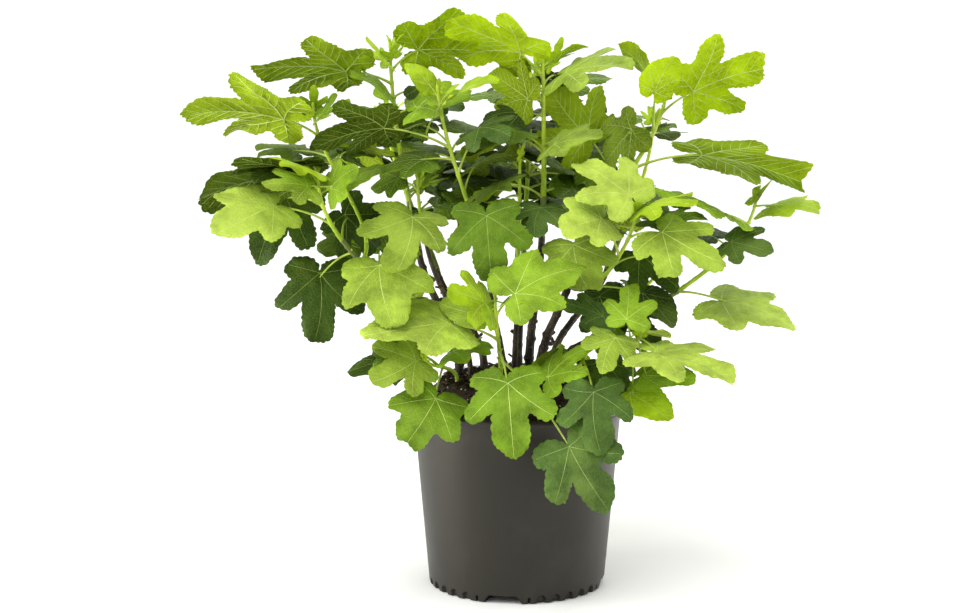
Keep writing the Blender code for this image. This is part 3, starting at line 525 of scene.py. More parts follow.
@dataclass(frozen=True)
class Axis:
    """A limb or shoot that stands: the rule's path, its radii, and a fine path of the same curve."""

    path: list[Vector]
    radii: tuple[float, float]
    fine: list[Vector]

    def girth(self, share: float | np.ndarray) -> float | np.ndarray:
        """Radius at a share of the length, or at many."""
        return self.radii[0] + (self.radii[1] - self.radii[0]) * share

    def foot_of(self, start: tuple[float, ...], tip: Vector) -> tuple[Vector, Vector]:
        """Find where a limb starts on this one, at its tip or on its side.

        Args:
            start: Share of this limb's length.
            tip: Tip of the limb that starts here.

        Returns:
            Start point and first direction.
        """
        spot, along = place_along(self.path, start[0])
        if start[0] >= 1.0:
            return spot + along * GAP, along
        out = tip - spot
        out = (out - along * out.dot(along)).normalized()
        return spot + out * (self.girth(start[0]) + GAP), out


def grow_axis(
    parent: Axis | None,
    start: tuple[float, ...],
    tip_cm: tuple[float, float, float],
    radii: tuple[float, float],
    upturn: float,
    rings: int,
    fine: int,
) -> Axis:
    """Grow one limb or shoot from the soil or from its parent.

    Args:
        parent: The limb that bears it, or None on the soil.
        start: x and y on the soil in cm, or the share of the parent's length.
        tip_cm: Its tip in cm.
        radii: Radius at foot and tip in metres.
        upturn: How far its end stands upright.
        rings: Points of the rule's path.
        fine: Points of the fine path.

    Returns:
        The axis that stands.
    """
    tip = Vector(tip_cm) * CM
    if parent is None:
        foot, first = Vector((start[0] * CM, start[1] * CM, SOIL_TOP + GAP)), UP.copy()
    else:
        foot, first = parent.foot_of(start, tip)
    return Axis(
        grown_path(foot, first, tip, upturn, rings), radii, grown_path(foot, first, tip, upturn, fine)
    )


# Meshes

def set_in_scene(name: str, data: bpy.types.ID) -> bpy.types.Object:
    """Make an object of a mesh, a light or a camera, and link it to the scene.

    Args:
        name: Name of the object.
        data: What it holds.

    Returns:
        The object.
    """
    made = bpy.data.objects.new(name, data)
    bpy.context.scene.collection.objects.link(made)
    return made


@dataclass
class Sheaf:
    """Many small parts that become one joined piece.

    points, triangles and slots hold one array per part, and count the points so far.
    """

    points: list[np.ndarray] = field(default_factory=list)
    triangles: list[np.ndarray] = field(default_factory=list)
    slots: list[np.ndarray] = field(default_factory=list)
    count: int = 0

    def add(self, points: np.ndarray, triangles: np.ndarray, slot: int | np.ndarray) -> None:
        """Take one part in.

        Args:
            points: Rows of x, y and z in metres.
            triangles: Rows of three point numbers, turned outwards.
            slot: Number of its finish, one for all triangles or one for each.
        """
        self.points.append(points)
        self.triangles.append(triangles + self.count)
        self.slots.append(np.broadcast_to(np.asarray(slot), (len(triangles),)))
        self.count += len(points)

    def piece(
        self, name: str, finishes: Sequence[bpy.types.Material], crease: float
    ) -> bpy.types.Object:
        """Make the joined piece.

        Args:
            name: Name of the piece.
            finishes: Materials in the order of the slots.
            crease: Angle in degrees from which edges stay sharp.

        Returns:
            The finished object.
        """
        mesh = bpy.data.meshes.new(name)
        mesh.from_pydata(np.vstack(self.points), [], np.vstack(self.triangles))
        for finish in finishes:
            mesh.materials.append(finish)
        mesh.polygons.foreach_set("material_index", np.concatenate(self.slots).astype(np.int32))
        mesh.shade_smooth()
        mesh.set_sharp_from_angle(angle=math.radians(crease))
        mesh.update()
        log.info("%s: %d triangles", name, len(mesh.polygons))
        return set_in_scene(name, mesh)


def unit(rows: np.ndarray) -> np.ndarray:
    """Rows scaled to unit length."""
    return rows / np.maximum(np.linalg.norm(rows, axis=-1, keepdims=True), TINY)


def bell(offset: np.ndarray, width: float) -> np.ndarray:
    """A smooth bump that is 1 at no offset and fades over a width."""
    return np.exp(-((offset / width) ** 2))


def length_along(path: np.ndarray) -> np.ndarray:
    """Length of a path from its first point to each of its points."""
    return np.concatenate([[0.0], np.cumsum(np.linalg.norm(np.diff(path, axis=0), axis=1))])


def fan_triangles(hub: int, first: int, sides: int, turned: bool = False) -> np.ndarray:
    """Triangles from a hub to a ring of points.

    Args:
        hub: Number of the hub.
        first: Number of the ring's first point.
        sides: Points in the ring.
        turned: True where the ring is walked backwards.

    Returns:
        Rows of three point numbers.
    """
    side = first + np.arange(sides)
    after = first + (np.arange(sides) + 1) % sides
    return np.stack([np.full(sides, hub), *((after, side) if turned else (side, after))], -1)


def ring_triangles(rings: int, sides: int) -> np.ndarray:
    """Triangles of the walls between rings of points, turned outwards.

    Args:
        rings: Number of rings.
        sides: Points in a ring.

    Returns:
        Rows of three point numbers.
    """
    low = (np.arange(rings - 1) * sides)[:, None]
    side = np.arange(sides)[None, :]
    after = (side + 1) % sides
    a, b, c, d = low + side, low + after, low + sides + after, low + sides + side
    halves = ([a, b, c], [a, c, d])
    return np.concatenate([np.stack(half, -1).reshape(-1, 3) for half in halves])


def tube(path: np.ndarray, radii: np.ndarray, sides: int) -> tuple[np.ndarray, np.ndarray]:
    """Make a closed tube along a path, with round ends for a radius that shrinks to nothing.

    Args:
        path: Rows of centre points.
        radii: One radius for each ring, or one for each ring and side.
        sides: Points in a ring.

    Returns:
        Points and triangles.
    """
    along = unit(np.gradient(path, axis=0))
    across = np.cross(along[0], (0.0, 0.0, 1.0))
    if np.linalg.norm(across) < EDGE_ON:
        across = np.array((1.0, 0.0, 0.0))
    rows = []
    for ahead in along:
        across = across - ahead * across.dot(ahead)
        across /= np.linalg.norm(across)
        rows.append(across)
    across_rows = np.array(rows)
    other = np.cross(along, across_rows)
    angle = np.arange(sides) * (FULL_TURN / sides)
    radii = np.broadcast_to(radii[:, None] if radii.ndim == 1 else radii, (len(path), sides))
    rim = (across_rows[:, None, :] * np.cos(angle)[None, :, None]
           + other[:, None, :] * np.sin(angle)[None, :, None])
    points = (path[:, None, :] + rim * radii[:, :, None]).reshape(-1, 3)
    points = np.vstack([points, path[0], path[-1]])
    foot = fan_triangles(len(points) - 2, 0, sides, turned=True)
    head = fan_triangles(len(points) - 1, (len(path) - 1) * sides, sides)
    return points, np.concatenate([ring_triangles(len(path), sides), foot, head])


def array(path: Sequence[Vector]) -> np.ndarray:
    """Points of a path as rows."""
    return np.array([tuple(point) for point in path])


# Finishes

@dataclass
class Wiring:
    """The nodes of one material."""

    name: str

    def __post_init__(self) -> None:
        """Start from a plain Principled shader on Object coordinates."""
        self.material = bpy.data.materials.new(self.name)
        self.material.use_nodes = True
        self.tree = self.material.node_tree
        self.shader = self.tree.nodes["Principled BSDF"]
        self.place = self.tree.nodes.new("ShaderNodeTexCoord").outputs["Object"]

    def put(self, socket: bpy.types.NodeSocket, value: object) -> None:
        """Link a socket, or set its constant.

        Args:
            socket: The input.
            value: An output socket, a number or a colour.
        """
        if isinstance(value, bpy.types.NodeSocket):
            self.tree.links.new(value, socket)
        elif isinstance(value, tuple) and len(value) == 3 and socket.type == "RGBA":
            socket.default_value = (*value, 1.0)
        else:
            socket.default_value = value

    def node(self, kind: str, settings: dict[str, object], inputs: dict[str, object]) -> bpy.types.Node:
        """Add one node.

        Args:
            kind: Type of the node.
            settings: Its properties.
            inputs: Its input sockets by name.

        Returns:
            The node.
        """
        made = self.tree.nodes.new(kind)
        for key, value in settings.items():
            setattr(made, key, value)
        for key, value in inputs.items():
            self.put(made.inputs[key], value)
        return made

    def noise(self, scale: float, detail: float = 3.0, place: object = None) -> bpy.types.NodeSocket:
        """Value of a noise of a scale per metre."""
        inputs = {"Vector": place or self.place, "Scale": scale, "Detail": detail, "Roughness": 0.6}
        return self.node("ShaderNodeTexNoise", {}, inputs).outputs[0]

    def cells(self, scale: float, feature: str) -> bpy.types.NodeSocket:
        """Distance of a cell pattern, to the cells' middles or their edges."""
        inputs = {"Vector": self.place, "Scale": scale}
        return self.node("ShaderNodeTexVoronoi", {"feature": feature}, inputs).outputs["Distance"]

    def stretched(self, scale: tuple[float, float, float]) -> bpy.types.NodeSocket:
        """Object coordinates scaled along each axis."""
        return self.node("ShaderNodeMapping", {}, {"Vector": self.place, "Scale": scale}).outputs[0]

    def span(
        self, value: object, low: float, high: float, out_low: float, out_high: float
    ) -> bpy.types.NodeSocket:
        """Map a value from the range of low and high to that of the results."""
        inputs = {"Value": value, "From Min": low, "From Max": high, "To Min": out_low, "To Max": out_high}
        return self.node("ShaderNodeMapRange", {}, inputs).outputs[0]

    def cloud(
        self, scale: float, low: float, high: float, out_low: float, out_high: float, detail: float = 3.0
    ) -> bpy.types.NodeSocket:
        """Noise of a scale per metre, mapped from one range to another."""
        return self.span(self.noise(scale, detail), low, high, out_low, out_high)

    def blend(self, share: object, first: object, second: object) -> bpy.types.NodeSocket:
        """Mix two colours."""
        return self.node("ShaderNodeMixRGB", {}, {"Fac": share, "Color1": first, "Color2": second}).outputs[0]

    def shades(self, share: object, colour: Colour, dark: float, light: float) -> bpy.types.NodeSocket:
        """Mix a colour made darker with the same made lighter."""
        return self.blend(share, shade(colour, dark), shade(colour, light))

    def bump(self, height: object, depth: float, under: object = None) -> bpy.types.NodeSocket:
        """Bend the normal by a height of a depth in metres.

        Args:
            height: Output socket with the height.
            depth: Depth in metres.
            under: Normal of a bump below this one.

        Returns:
            The bent normal.
        """
        inputs: dict[str, object] = {"Height": height, "Strength": 1.0, "Distance": depth}
        if under is not None:
            inputs["Normal"] = under
        return self.node("ShaderNodeBump", {}, inputs).outputs[0]

    def finish(self, colour: object, rough: object, normal: object, shine: float) -> bpy.types.Material:
        """Set the shader.

        Args:
            colour: Base colour.
            rough: Roughness.
            normal: Normal.
            shine: Specular level.

        Returns:
            The material.
        """
        self.put(self.shader.inputs["Base Color"], colour)
        self.put(self.shader.inputs["Roughness"], rough)
        self.put(self.shader.inputs["Normal"], normal)
        self.put(self.shader.inputs["Specular IOR Level"], shine)
        return self.material


def shade(colour: Colour, factor: float) -> Colour:
    """A colour made darker or lighter."""
    return tuple(min(part * factor, 0.95) for part in colour)


@dataclass(frozen=True)
class LeafFinish:
    """Skin of a blade: a plain colour mottled a little, pale dust and painted sheen, and a fine net of veins.
    """

    name: str
    colour: Colour
    rough: float
    net: float
    shine: float
    dust_and_sheen: float
    cell: float = 0.0042

    def material(self) -> bpy.types.Material:
        """Make the material."""
        w = Wiring(self.name)
        edge = w.span(w.cells(1.0 / self.cell, "DISTANCE_TO_EDGE"), 0.0, 0.16, 1.0, 0.0)
        skin = w.shades(w.cloud(26.0, 0.38, 0.60, 0.0, 1.0, 4.0), self.colour, 0.62, 1.25)
        skin = w.blend(w.cloud(150.0, 0.35, 0.7, 0.0, 0.4), skin, shade(self.colour, 0.66))
        # Paler patches: partly the blade's real dusty hairs, partly painted sheen of light on them.
        dust_and_sheen = tuple(part * 0.8 + add for part, add in zip(self.colour, (0.085, 0.100, 0.022)))
        skin = w.blend(w.cloud(13.0, 0.50, 0.72, 0.0, self.dust_and_sheen, 4.0), skin, dust_and_sheen)
        pale = tuple(part * 0.9 + add for part, add in zip(self.colour, (0.080, 0.095, 0.012)))
        skin = w.blend(w.span(edge, 0.0, 1.0, 0.0, self.net), skin, pale)
        grain = w.bump(w.noise(900.0, 2.0), 0.0001)
        normal = w.bump(edge, -0.0003, w.bump(w.noise(110.0), 0.0008, grain))
        rough = w.cloud(160.0, 0.3, 0.7, self.rough - 0.08, self.rough + 0.1)
        return w.finish(skin, rough, normal, self.shine)


@dataclass(frozen=True)
class StemFinish:
    """Skin of green shoots, stalks, buds and veins: smooth, with fine lengthwise lines."""

    name: str
    colour: Colour
    rough: float = 0.45

    def material(self) -> bpy.types.Material:
        """Make the material."""
        w = Wiring(self.name)
        skin = w.shades(w.cloud(70.0, 0.35, 0.65, 0.0, 1.0), self.colour, 0.85, 1.12)
        lines = w.noise(420.0, 2.0, w.stretched((1.0, 1.0, 0.12)))
        rough = w.cloud(240.0, 0.3, 0.7, self.rough - 0.07, self.rough + 0.1)
        return w.finish(skin, rough, w.bump(lines, 0.0002), 0.4)


@dataclass(frozen=True)
class BarkFinish:
    """Dark young bark with pale pores and greyer patches."""

    name: str = "fig_bark"
    dark: Colour = (0.022, 0.015, 0.011)
    pale: Colour = (0.095, 0.070, 0.048)
    pores: Colour = (0.22, 0.17, 0.11)

    def material(self) -> bpy.types.Material:
        """Make the material."""
        w = Wiring(self.name)
        streaks = w.noise(190.0, 5.0, w.stretched((1.0, 1.0, 0.25)))
        patches = w.cloud(38.0, 0.42, 0.68, 0.0, 1.0)
        skin = w.blend(patches, self.dark, self.pale)
        skin = w.blend(w.span(streaks, 0.4, 0.7, 0.0, 0.45), skin, shade(self.dark, 0.6))
        spots = w.span(w.cells(210.0, "F1"), 0.12, 0.26, 1.0, 0.0)
        skin = w.blend(w.span(spots, 0.0, 1.0, 0.0, 0.6), skin, self.pores)
        normal = w.bump(spots, 0.0003, w.bump(streaks, 0.0007))
        return w.finish(skin, w.span(streaks, 0.3, 0.7, 0.6, 0.85), normal, 0.35)


@dataclass(frozen=True)
class PlasticFinish:
    """Satin charcoal plastic with rubbed streaks and a fine grain."""

    name: str = "pot_plastic"
    colour: Colour = (0.0120, 0.0106, 0.0080)
    glint: Colour = (1.0, 0.96, 0.86)

    def material(self) -> bpy.types.Material:
        """Make the material."""
        w = Wiring(self.name)
        streaks = w.noise(26.0, 4.0, w.stretched((1.0, 1.0, 0.14)))
        # Paler dust patches on the plastic; the same noise varies the roughness and so the satin sheen.
        dust_and_sheen = w.noise(9.0, 5.0)
        skin = w.blend(w.span(streaks, 0.35, 0.7, 0.0, 0.5), self.colour, shade(self.colour, 1.35))
        skin = w.blend(w.span(dust_and_sheen, 0.52, 0.75, 0.0, 0.3), skin, (0.050, 0.047, 0.040))
        grain = w.bump(w.noise(1500.0, 2.0), 0.00005)
        normal = w.bump(streaks, 0.0004, grain)
        w.put(w.shader.inputs["Specular Tint"], self.glint)
        return w.finish(skin, w.span(dust_and_sheen, 0.3, 0.7, 0.38, 0.52), normal, 0.36)


@dataclass(frozen=True)
class EarthFinish:
    """Soil, chips and specks: a rough crumbly surface in one colour."""

    name: str
    colour: Colour
    depth: float = 0.0006

    def material(self) -> bpy.types.Material:
        """Make the material."""
        w = Wiring(self.name)
        crumbs = w.noise(330.0, 6.0)
        skin = w.shades(w.span(crumbs, 0.35, 0.68, 0.0, 1.0), self.colour, 0.55, 1.5)
        return w.finish(skin, w.span(crumbs, 0.3, 0.7, 0.8, 0.97), w.bump(crumbs, self.depth), 0.2)


@dataclass(frozen=True)
class FloorFinish:
    """Pale matt floor with a faint texture."""

    name: str = "studio_floor"
    colour: Colour = (0.93, 0.93, 0.93)

    def material(self) -> bpy.types.Material:
        """Make the material."""
        w = Wiring(self.name)
        cloud = w.noise(6.0)
        skin = w.blend(cloud, self.colour, shade(self.colour, 1.02))
        return w.finish(skin, w.span(cloud, 0.3, 0.7, 0.7, 0.8), w.bump(w.noise(300.0), 0.0001), 0.2)


# Upper side and underside of a blade of each tint. Lime, pale and sunny greens are painted light on and
# through the blades, olive and deep greens painted shade in the crown, and the paler undersides are partly
# their own colour, partly painted light through the blade.
BLADE_COLOURS: dict[Tint, tuple[Colour, Colour]] = {
    Tint.LIME: ((0.350, 0.520, 0.006), (0.420, 0.600, 0.003)),
    Tint.PALE: ((0.400, 0.540, 0.065), (0.380, 0.520, 0.060)),
    Tint.SUNNY: ((0.270, 0.390, 0.034), (0.300, 0.430, 0.030)),
    Tint.FRESH: ((0.220, 0.370, 0.014), (0.270, 0.430, 0.014)),
    Tint.MEADOW: ((0.140, 0.255, 0.008), (0.230, 0.350, 0.010)),
    Tint.GREEN: ((0.085, 0.165, 0.004), (0.270, 0.390, 0.008)),
    Tint.GREY: ((0.060, 0.122, 0.017), (0.130, 0.210, 0.030)),
    Tint.OLIVE: ((0.080, 0.145, 0.006), (0.130, 0.200, 0.008)),
    Tint.DEEP: ((0.032, 0.070, 0.003), (0.055, 0.095, 0.003)),
}


class Skin(Enum):
    """Finishes of shoots, stalks, buds and veins, with their base colours."""

    TIP = (0.430, 0.560, 0.035)
    STALK = (0.400, 0.520, 0.060)
    SHOOT = (0.330, 0.480, 0.018)
    OLD_SHOOT = (0.130, 0.170, 0.030)
    VEIN = (0.600, 0.740, 0.200)
    # The darker vein colour goes on leaves dealt the shade greens, as part of their painted shade.
    DIM_VEIN = (0.290, 0.390, 0.080)


SKINS = list(Skin)
TINTS = list(Tint)


# Leaves

class Axes(NamedTuple):
    """Axes of a blade: along its midrib, across it, and out of its upper side."""

    along: Vector
    across: Vector
    out: Vector


def blade_axes(heading: float, rise: float, lean: float) -> Axes:
    """Work out the axes of a blade.

    Args:
        heading: Heading of the midrib in degrees.
        rise: Its rise in degrees.
        lean: How far the upper side tips from up to the front, in degrees.

    Returns:
        The axes.
    """
    along = direction(heading, rise)
    tilt = math.radians(lean)
    face = UP * math.cos(tilt) + FRONT * math.sin(tilt)
    out = face - along * face.dot(along)
    if out.length < EDGE_ON:
        out = UP - along * along.z
    out.normalize()
    return Axes(along, out.cross(along), out)


def blade_sides(marks: Sequence[Flat], seed: str) -> list[list[Flat]]:
    """Lay marks of angle and reach on both sides of a blade, each side a little different.

    Args:
        marks: Angles from the midrib in degrees, and reaches in blade lengths.
        seed: Seed of this blade.

    Returns:
        The places on the left side and on the right side.
    """
    chance = random.Random(seed)
    sides = []
    for mirror in (1, -1):
        stretch = 1.0 + chance.uniform(-LOBE_SPREAD, LOBE_SPREAD)
        swing = chance.uniform(-LOBE_SWING, LOBE_SWING)
        row = []
        for angle, reach in marks:
            turn = math.radians(angle + swing)
            row.append((reach * stretch * math.cos(turn), mirror * reach * stretch * math.sin(turn)))
        sides.append(row)
    return sides


def blade_outline(half: Sequence[Flat], seed: str) -> list[Flat]:
    """Corners of one blade in blade lengths, from the tip of its half outline round and back."""
    left, right = blade_sides(half[1:-1], seed)
    return [(1.0, 0.0)] + left + [(-half[-1][1], 0.0)] + right[::-1]


class Bend(NamedTuple):
    """How a blade is bent, in blade lengths: arch, cup, twist and fold along the midrib."""

    arch: float
    cup: float
    twist: float
    fold: float

    def height(self, u: object, v: object) -> object:
        """Height over the flat frame at a place on the blade."""
        return (self.arch * u * (1.0 - u) - self.cup * v * v + self.twist * v * u * u
                + self.fold * abs(v))


def blade_bend(form: Form, seed: str, folded: bool) -> Bend:
    """Draw the bend of one blade.

    Args:
        form: The blade's form.
        seed: Seed of this blade.
        folded: True for a blade that is folded up along its midrib.

    Returns:
        The bend.
    """
    chance = random.Random(seed + "bend")
    fold = chance.uniform(*(CLOSED_FOLD if folded else OPEN_FOLD))
    return Bend(chance.uniform(*ARCH), chance.uniform(*CUP[form]), chance.uniform(-TWIST, TWIST), fold)


def rule_leaves(shoot: Shoot, name: str) -> Iterator[Leaf]:
    """Give the leaves of the spiral rule, lower ones larger and more drooping.

    Args:
        shoot: The shoot that bears them.
        name: Its name, which seeds them.

    Yields:
        One leaf after the other.
    """
    chance = random.Random(name)
    hues = random.Random(name + "tints")
    fill = shoot.fill
    stalk_gain, blade_gain = RULE_RISE_BY_SHARE
    for index in range(fill.count):
        share = fill.low + (RULE_HIGHEST - fill.low) * (index + 0.5) / fill.count
        spin = (index * GOLDEN + chance.random() * RULE_JITTER) % 1.0
        heading = fill.arc[0] + fill.arc[1] * spin
        size = fill.size[0] + (fill.size[1] - fill.size[0]) * share
        size *= chance.uniform(*RULE_SIZES)
        length = size * chance.uniform(*RULE_STALKS)
        stalk = (length, heading, chance.uniform(*RULE_STALK_RISES) + stalk_gain * share)
        swing = chance.uniform(-RULE_BLADE_SWING, RULE_BLADE_SWING)
        blade = (size, heading + swing, chance.uniform(*RULE_BLADE_RISES) + blade_gain * share)
        behind = math.sin(math.radians(heading)) > 0.0
        lean = chance.uniform(*(RULE_LEANS_BEHIND if behind else RULE_LEANS_IN_FRONT))
        tint = hues.choice(RULE_TINTS)
        yield Leaf(share, stalk, blade, lean, tint, Form.COARSE)


def segments_distance(spots: np.ndarray, starts: np.ndarray, ends: np.ndarray) -> np.ndarray:
    """Least distance of each spot to any of some straight pieces.

    Args:
        spots: Rows of u and v.
        starts: Starts of the pieces.
        ends: Their ends.

    Returns:
        One distance for each spot.
    """
    run = ends - starts
    rel = spots[:, None, :] - starts[None]
    share = (rel * run[None]).sum(-1) / np.maximum((run * run).sum(-1), TINY)[None]
    near = rel - run[None] * np.clip(share, 0.0, 1.0)[..., None]
    return np.sqrt((near * near).sum(-1).min(axis=1))


def inside_loop(spots: np.ndarray, loop: np.ndarray) -> np.ndarray:
    """Tell which spots lie inside a closed outline.

    Args:
        spots: Rows of u and v.
        loop: Points of the outline.

    Returns:
        One truth value for each spot.
    """
    after = np.roll(loop, -1, axis=0)
    above = (loop[None, :, 1] > spots[:, None, 1]) != (after[None, :, 1] > spots[:, None, 1])
    rise = after[:, 1] - loop[:, 1]
    rise = np.where(np.abs(rise) < TINY, TINY, rise)
    slope = ((after[:, 0] - loop[:, 0]) / rise)[None]
    cross = loop[None, :, 0] + (spots[:, None, 1] - loop[None, :, 1]) * slope
    return ((above & (spots[:, None, 0] < cross)).sum(axis=1) % 2).astype(bool)


RAY_START = 1e-4
RAY_MISS = 9.0


def ray_reach(spot: np.ndarray, ray: np.ndarray, starts: np.ndarray, ends: np.ndarray) -> float:
    """Distance from a spot along a ray to the first of some straight pieces.

    Args:
        spot: Start of the ray.
        ray: Its unit direction.
        starts: Starts of the pieces.
        ends: Their ends.

    Returns:
        The distance, or a large number where nothing is met.
    """
    run = ends - starts
    rel = starts - spot
    cross = ray[0] * run[:, 1] - ray[1] * run[:, 0]
    cross = np.where(np.abs(cross) < TINY, TINY, cross)
    far = (rel[:, 0] * run[:, 1] - rel[:, 1] * run[:, 0]) / cross
    share = (rel[:, 0] * ray[1] - rel[:, 1] * ray[0]) / cross
    met = far[(far > RAY_START) & (share >= 0.0) & (share <= 1.0)]
    return float(met.min()) if len(met) else RAY_MISS


def in_sky(points: np.ndarray) -> bool:
    """Tell whether any point lies where the sky shows through from the front."""
    across, up = points[:, 0], points[:, 2]
    return any(((across > left) & (across < right) & (up > bottom) & (up < top)).any()
               for left, bottom, right, top in SKY)


class Vein(NamedTuple):
    """A vein: its places on the blade, and its width at both ends in blade lengths."""

    places: np.ndarray
    widths: tuple[float, float]


@dataclass
class Blade:
    """One fine blade: a thin closed skin with a toothed margin, quilted between its veins."""

    leaf: Leaf
    seed: str
    joint: Vector
    axes: Axes
    tooth: float = 0.0082
    tooth_depth: float = 0.0020
    grain: float = 0.0046
    thickness: float = 0.0005
    edge: float = 0.00024
    quilt: float = 0.018
    ruffle: float = 0.033
    rib: float = 0.020
    side_rib: float = 0.0095
    near_fold: float = 0.4
    tip_turn: float = 0.45
    corner_jitter: float = 0.021
    curve_steps: int = 6
    least_teeth: int = 24
    tooth_widths: tuple[float, float] = (0.55, 1.5)
    tooth_heights: tuple[float, float] = (0.35, 1.25)
    tooth_shape: tuple[float, ...] = (0.0, 0.72, 1.0, 0.66)
    full_grown: float = 0.06
    midrib_end: float = 0.965
    sway: float = 0.065
    side_every: float = 0.150
    side_from: float = 0.16
    side_span: float = 0.74
    side_stagger: float = 0.22
    side_angle: float = 56.0
    side_angle_loss: float = 16.0
    side_hook: float = 0.16
    side_step: float = 0.080
    side_shortest: float = 0.045
    clear_of_margin: float = 0.90
    clear_of_mains: float = 0.78
    grid_least: float = 0.042
    grid_rise: float = 0.866
    puff_width: float = 0.030
    calm_width: float = 0.035
    wave_middle: float = 0.22
    wave_reach: float = 0.6

    def __post_init__(self) -> None:
        """Draw what differs from blade to blade."""
        chance = random.Random(self.seed + "fine")
        form = self.leaf.form
        self.length = self.leaf.blade[0] * CM
        self.form = form if form is not Form.COARSE else chance.choice((Form.LOBED, Form.LOBED, Form.BROAD))
        self.bend = blade_bend(form, self.seed, self.leaf.lean < 0)
        self.waves = [(chance.uniform(0.4, 1.0), count, chance.uniform(0.0, ANY_PHASE))
                      for count in (3, 5, 8, 11)]
        self.chance = chance

    def margin(self) -> np.ndarray:
        """Outline of the blade: a smooth curve through its corners, with rounded teeth.

        Returns:
            Rows of u and v in blade lengths, against the clock.
        """
        corners = np.array(blade_outline(FINE_HALVES[self.form], self.seed))
        jitter = self.corner_jitter
        corners += np.array([[self.chance.uniform(-jitter, jitter) for _ in range(2)] for _ in corners])
        before, after, later = (np.roll(corners, step, axis=0) for step in (1, -1, -2))
        rows = []
        for share in np.arange(self.curve_steps) / float(self.curve_steps):
            rows.append(0.5 * (2.0 * corners + (after - before) * share
                               + (2.0 * before - 5.0 * corners + 4.0 * after - later) * share**2
                               + (3.0 * corners - before - 3.0 * after + later) * share**3))
        loop = np.stack(rows, axis=1).reshape(-1, 2)
        closed = np.vstack([loop, loop[:1]])
        gone = length_along(closed)
        teeth = max(self.least_teeth, round(gone[-1] * self.length / self.tooth))
        widths = np.array([self.chance.uniform(*self.tooth_widths) for _ in range(teeth)])
        marks = np.concatenate([[0.0], np.cumsum(widths)]) * gone[-1] / widths.sum()
        parts = len(self.tooth_shape)
        want = (marks[:-1, None] + np.diff(marks)[:, None] * np.arange(parts) / float(parts)).ravel()
        even = np.stack([np.interp(want, gone, closed[:, axis]) for axis in range(2)], axis=1)
        ahead = unit(np.roll(even, -1, axis=0) - np.roll(even, 1, axis=0))
        outward = np.stack([ahead[:, 1], -ahead[:, 0]], axis=1)
        deep = self.tooth_depth / 0.1 * min(1.0, self.length / self.full_grown)
        high = np.array([self.chance.uniform(*self.tooth_heights) for _ in range(teeth)])
        swell = (high[:, None] * np.array(self.tooth_shape)).ravel() - 0.5
        return even + outward * (swell * deep)[:, None]

    def veins(self, loop: np.ndarray) -> list[Vein]:
        """Lay out the main veins to the lobes and the side veins between them.

        Args:
            loop: The margin.

        Returns:
            The veins, main ones first.
        """
        left, right = blade_sides(LOBE_ENDS[self.form], self.seed)
        ends = [np.array((self.midrib_end, 0.0))] + [np.array(end) * 0.97 for end in left + right]
        rim = (loop, np.roll(loop, -1, axis=0))
        origin = np.zeros(2)
        spokes = (np.zeros((len(ends), 2)), np.array(ends))
        mains, sides = [], []
        for number, end in enumerate(ends):
            size = float(np.linalg.norm(end))
            ahead = end / size
            left = np.array((-ahead[1], ahead[0]))
            sway = left * self.chance.uniform(-self.sway, self.sway) * size
            count = max(2, round(size / self.side_every))
            shares = {0.0, 1.0}
            for side in (1, -1):
                for step in range(count):
                    share = self.side_from + self.side_span * (step + 0.5 + self.side_stagger * side) / count
                    shares.add(share)
                    angle = math.radians(self.side_angle - self.side_angle_loss * share) * side
                    ray = ahead * math.cos(angle) + left * math.sin(angle)
                    base = end * share + sway * 4.0 * share * (1.0 - share)
                    others = [index for index in range(len(ends)) if index != number]
                    to_mains = ray_reach(base, ray, spokes[0][others], spokes[1][others])
                    free = min(self.clear_of_margin * ray_reach(base, ray, *rim),
                               self.clear_of_mains * to_mains)
                    reach = min(free, 0.30 * size + 0.10)
                    if reach < self.side_shortest:
                        continue
                    steps = np.linspace(0.0, 1.0, max(3, round(reach / self.side_step) + 1))[:, None]
                    places = (base + ray * reach * steps * (1.0 - 0.12 * steps)
                              + ahead * reach * self.side_hook * steps**2)
                    if not inside_loop(places[1:], loop).all():
                        continue
                    width = self.side_rib * (0.6 + 0.4 * (1.0 - share))
                    sides.append(Vein(places, (width, self.side_rib * 0.35)))
            along = np.array(sorted(shares))[:, None]
            mains.append(Vein(origin + end * along + sway * 4.0 * along * (1.0 - along),
                              (self.rib * (0.65 + 0.35 * size), self.rib * 0.32)))
        self.main_count = len(mains)
        return mains + sides

    def spot(self, places: np.ndarray, rise: np.ndarray) -> np.ndarray:
        """Points in space of places on the bent blade.

        Args:
            places: Rows of u and v.
            rise: Height over the bent blade, in blade lengths.

        Returns:
            Rows of x, y and z.
        """
        u, v = places[:, 0], places[:, 1]
        angle = np.arctan2(v, u - self.wave_middle)
        reach = np.hypot(u - self.wave_middle, v) / self.wave_reach
        wave = sum(size * np.sin(count * angle + phase) for size, count, phase in self.waves)
        height = self.bend.height(u, v) + rise + self.ruffle * 0.5 * wave * reach**3
        if self.leaf.lean < 0:
            near = v if self.axes.across.y < 0.0 else -v
            height = height - self.bend.fold * np.where(near > 0.0, (1.0 - self.near_fold) * near, -near)
            height = height + self.tip_turn * near * np.maximum(u - 0.35, 0.0)
        along, across, out = (np.array(axis) for axis in self.axes)
        return (np.array(self.joint) + along * (u * self.length)[:, None]
                + across * (v * self.length)[:, None] + out * (height * self.length)[:, None])

    def reach(self) -> np.ndarray:
        """Corners of the blade's outline in space, and a point near its middle."""
        corners = np.array(blade_outline(FINE_HALVES[self.form], self.seed) + [(0.2, 0.0)])
        return self.spot(corners, np.zeros(len(corners)))

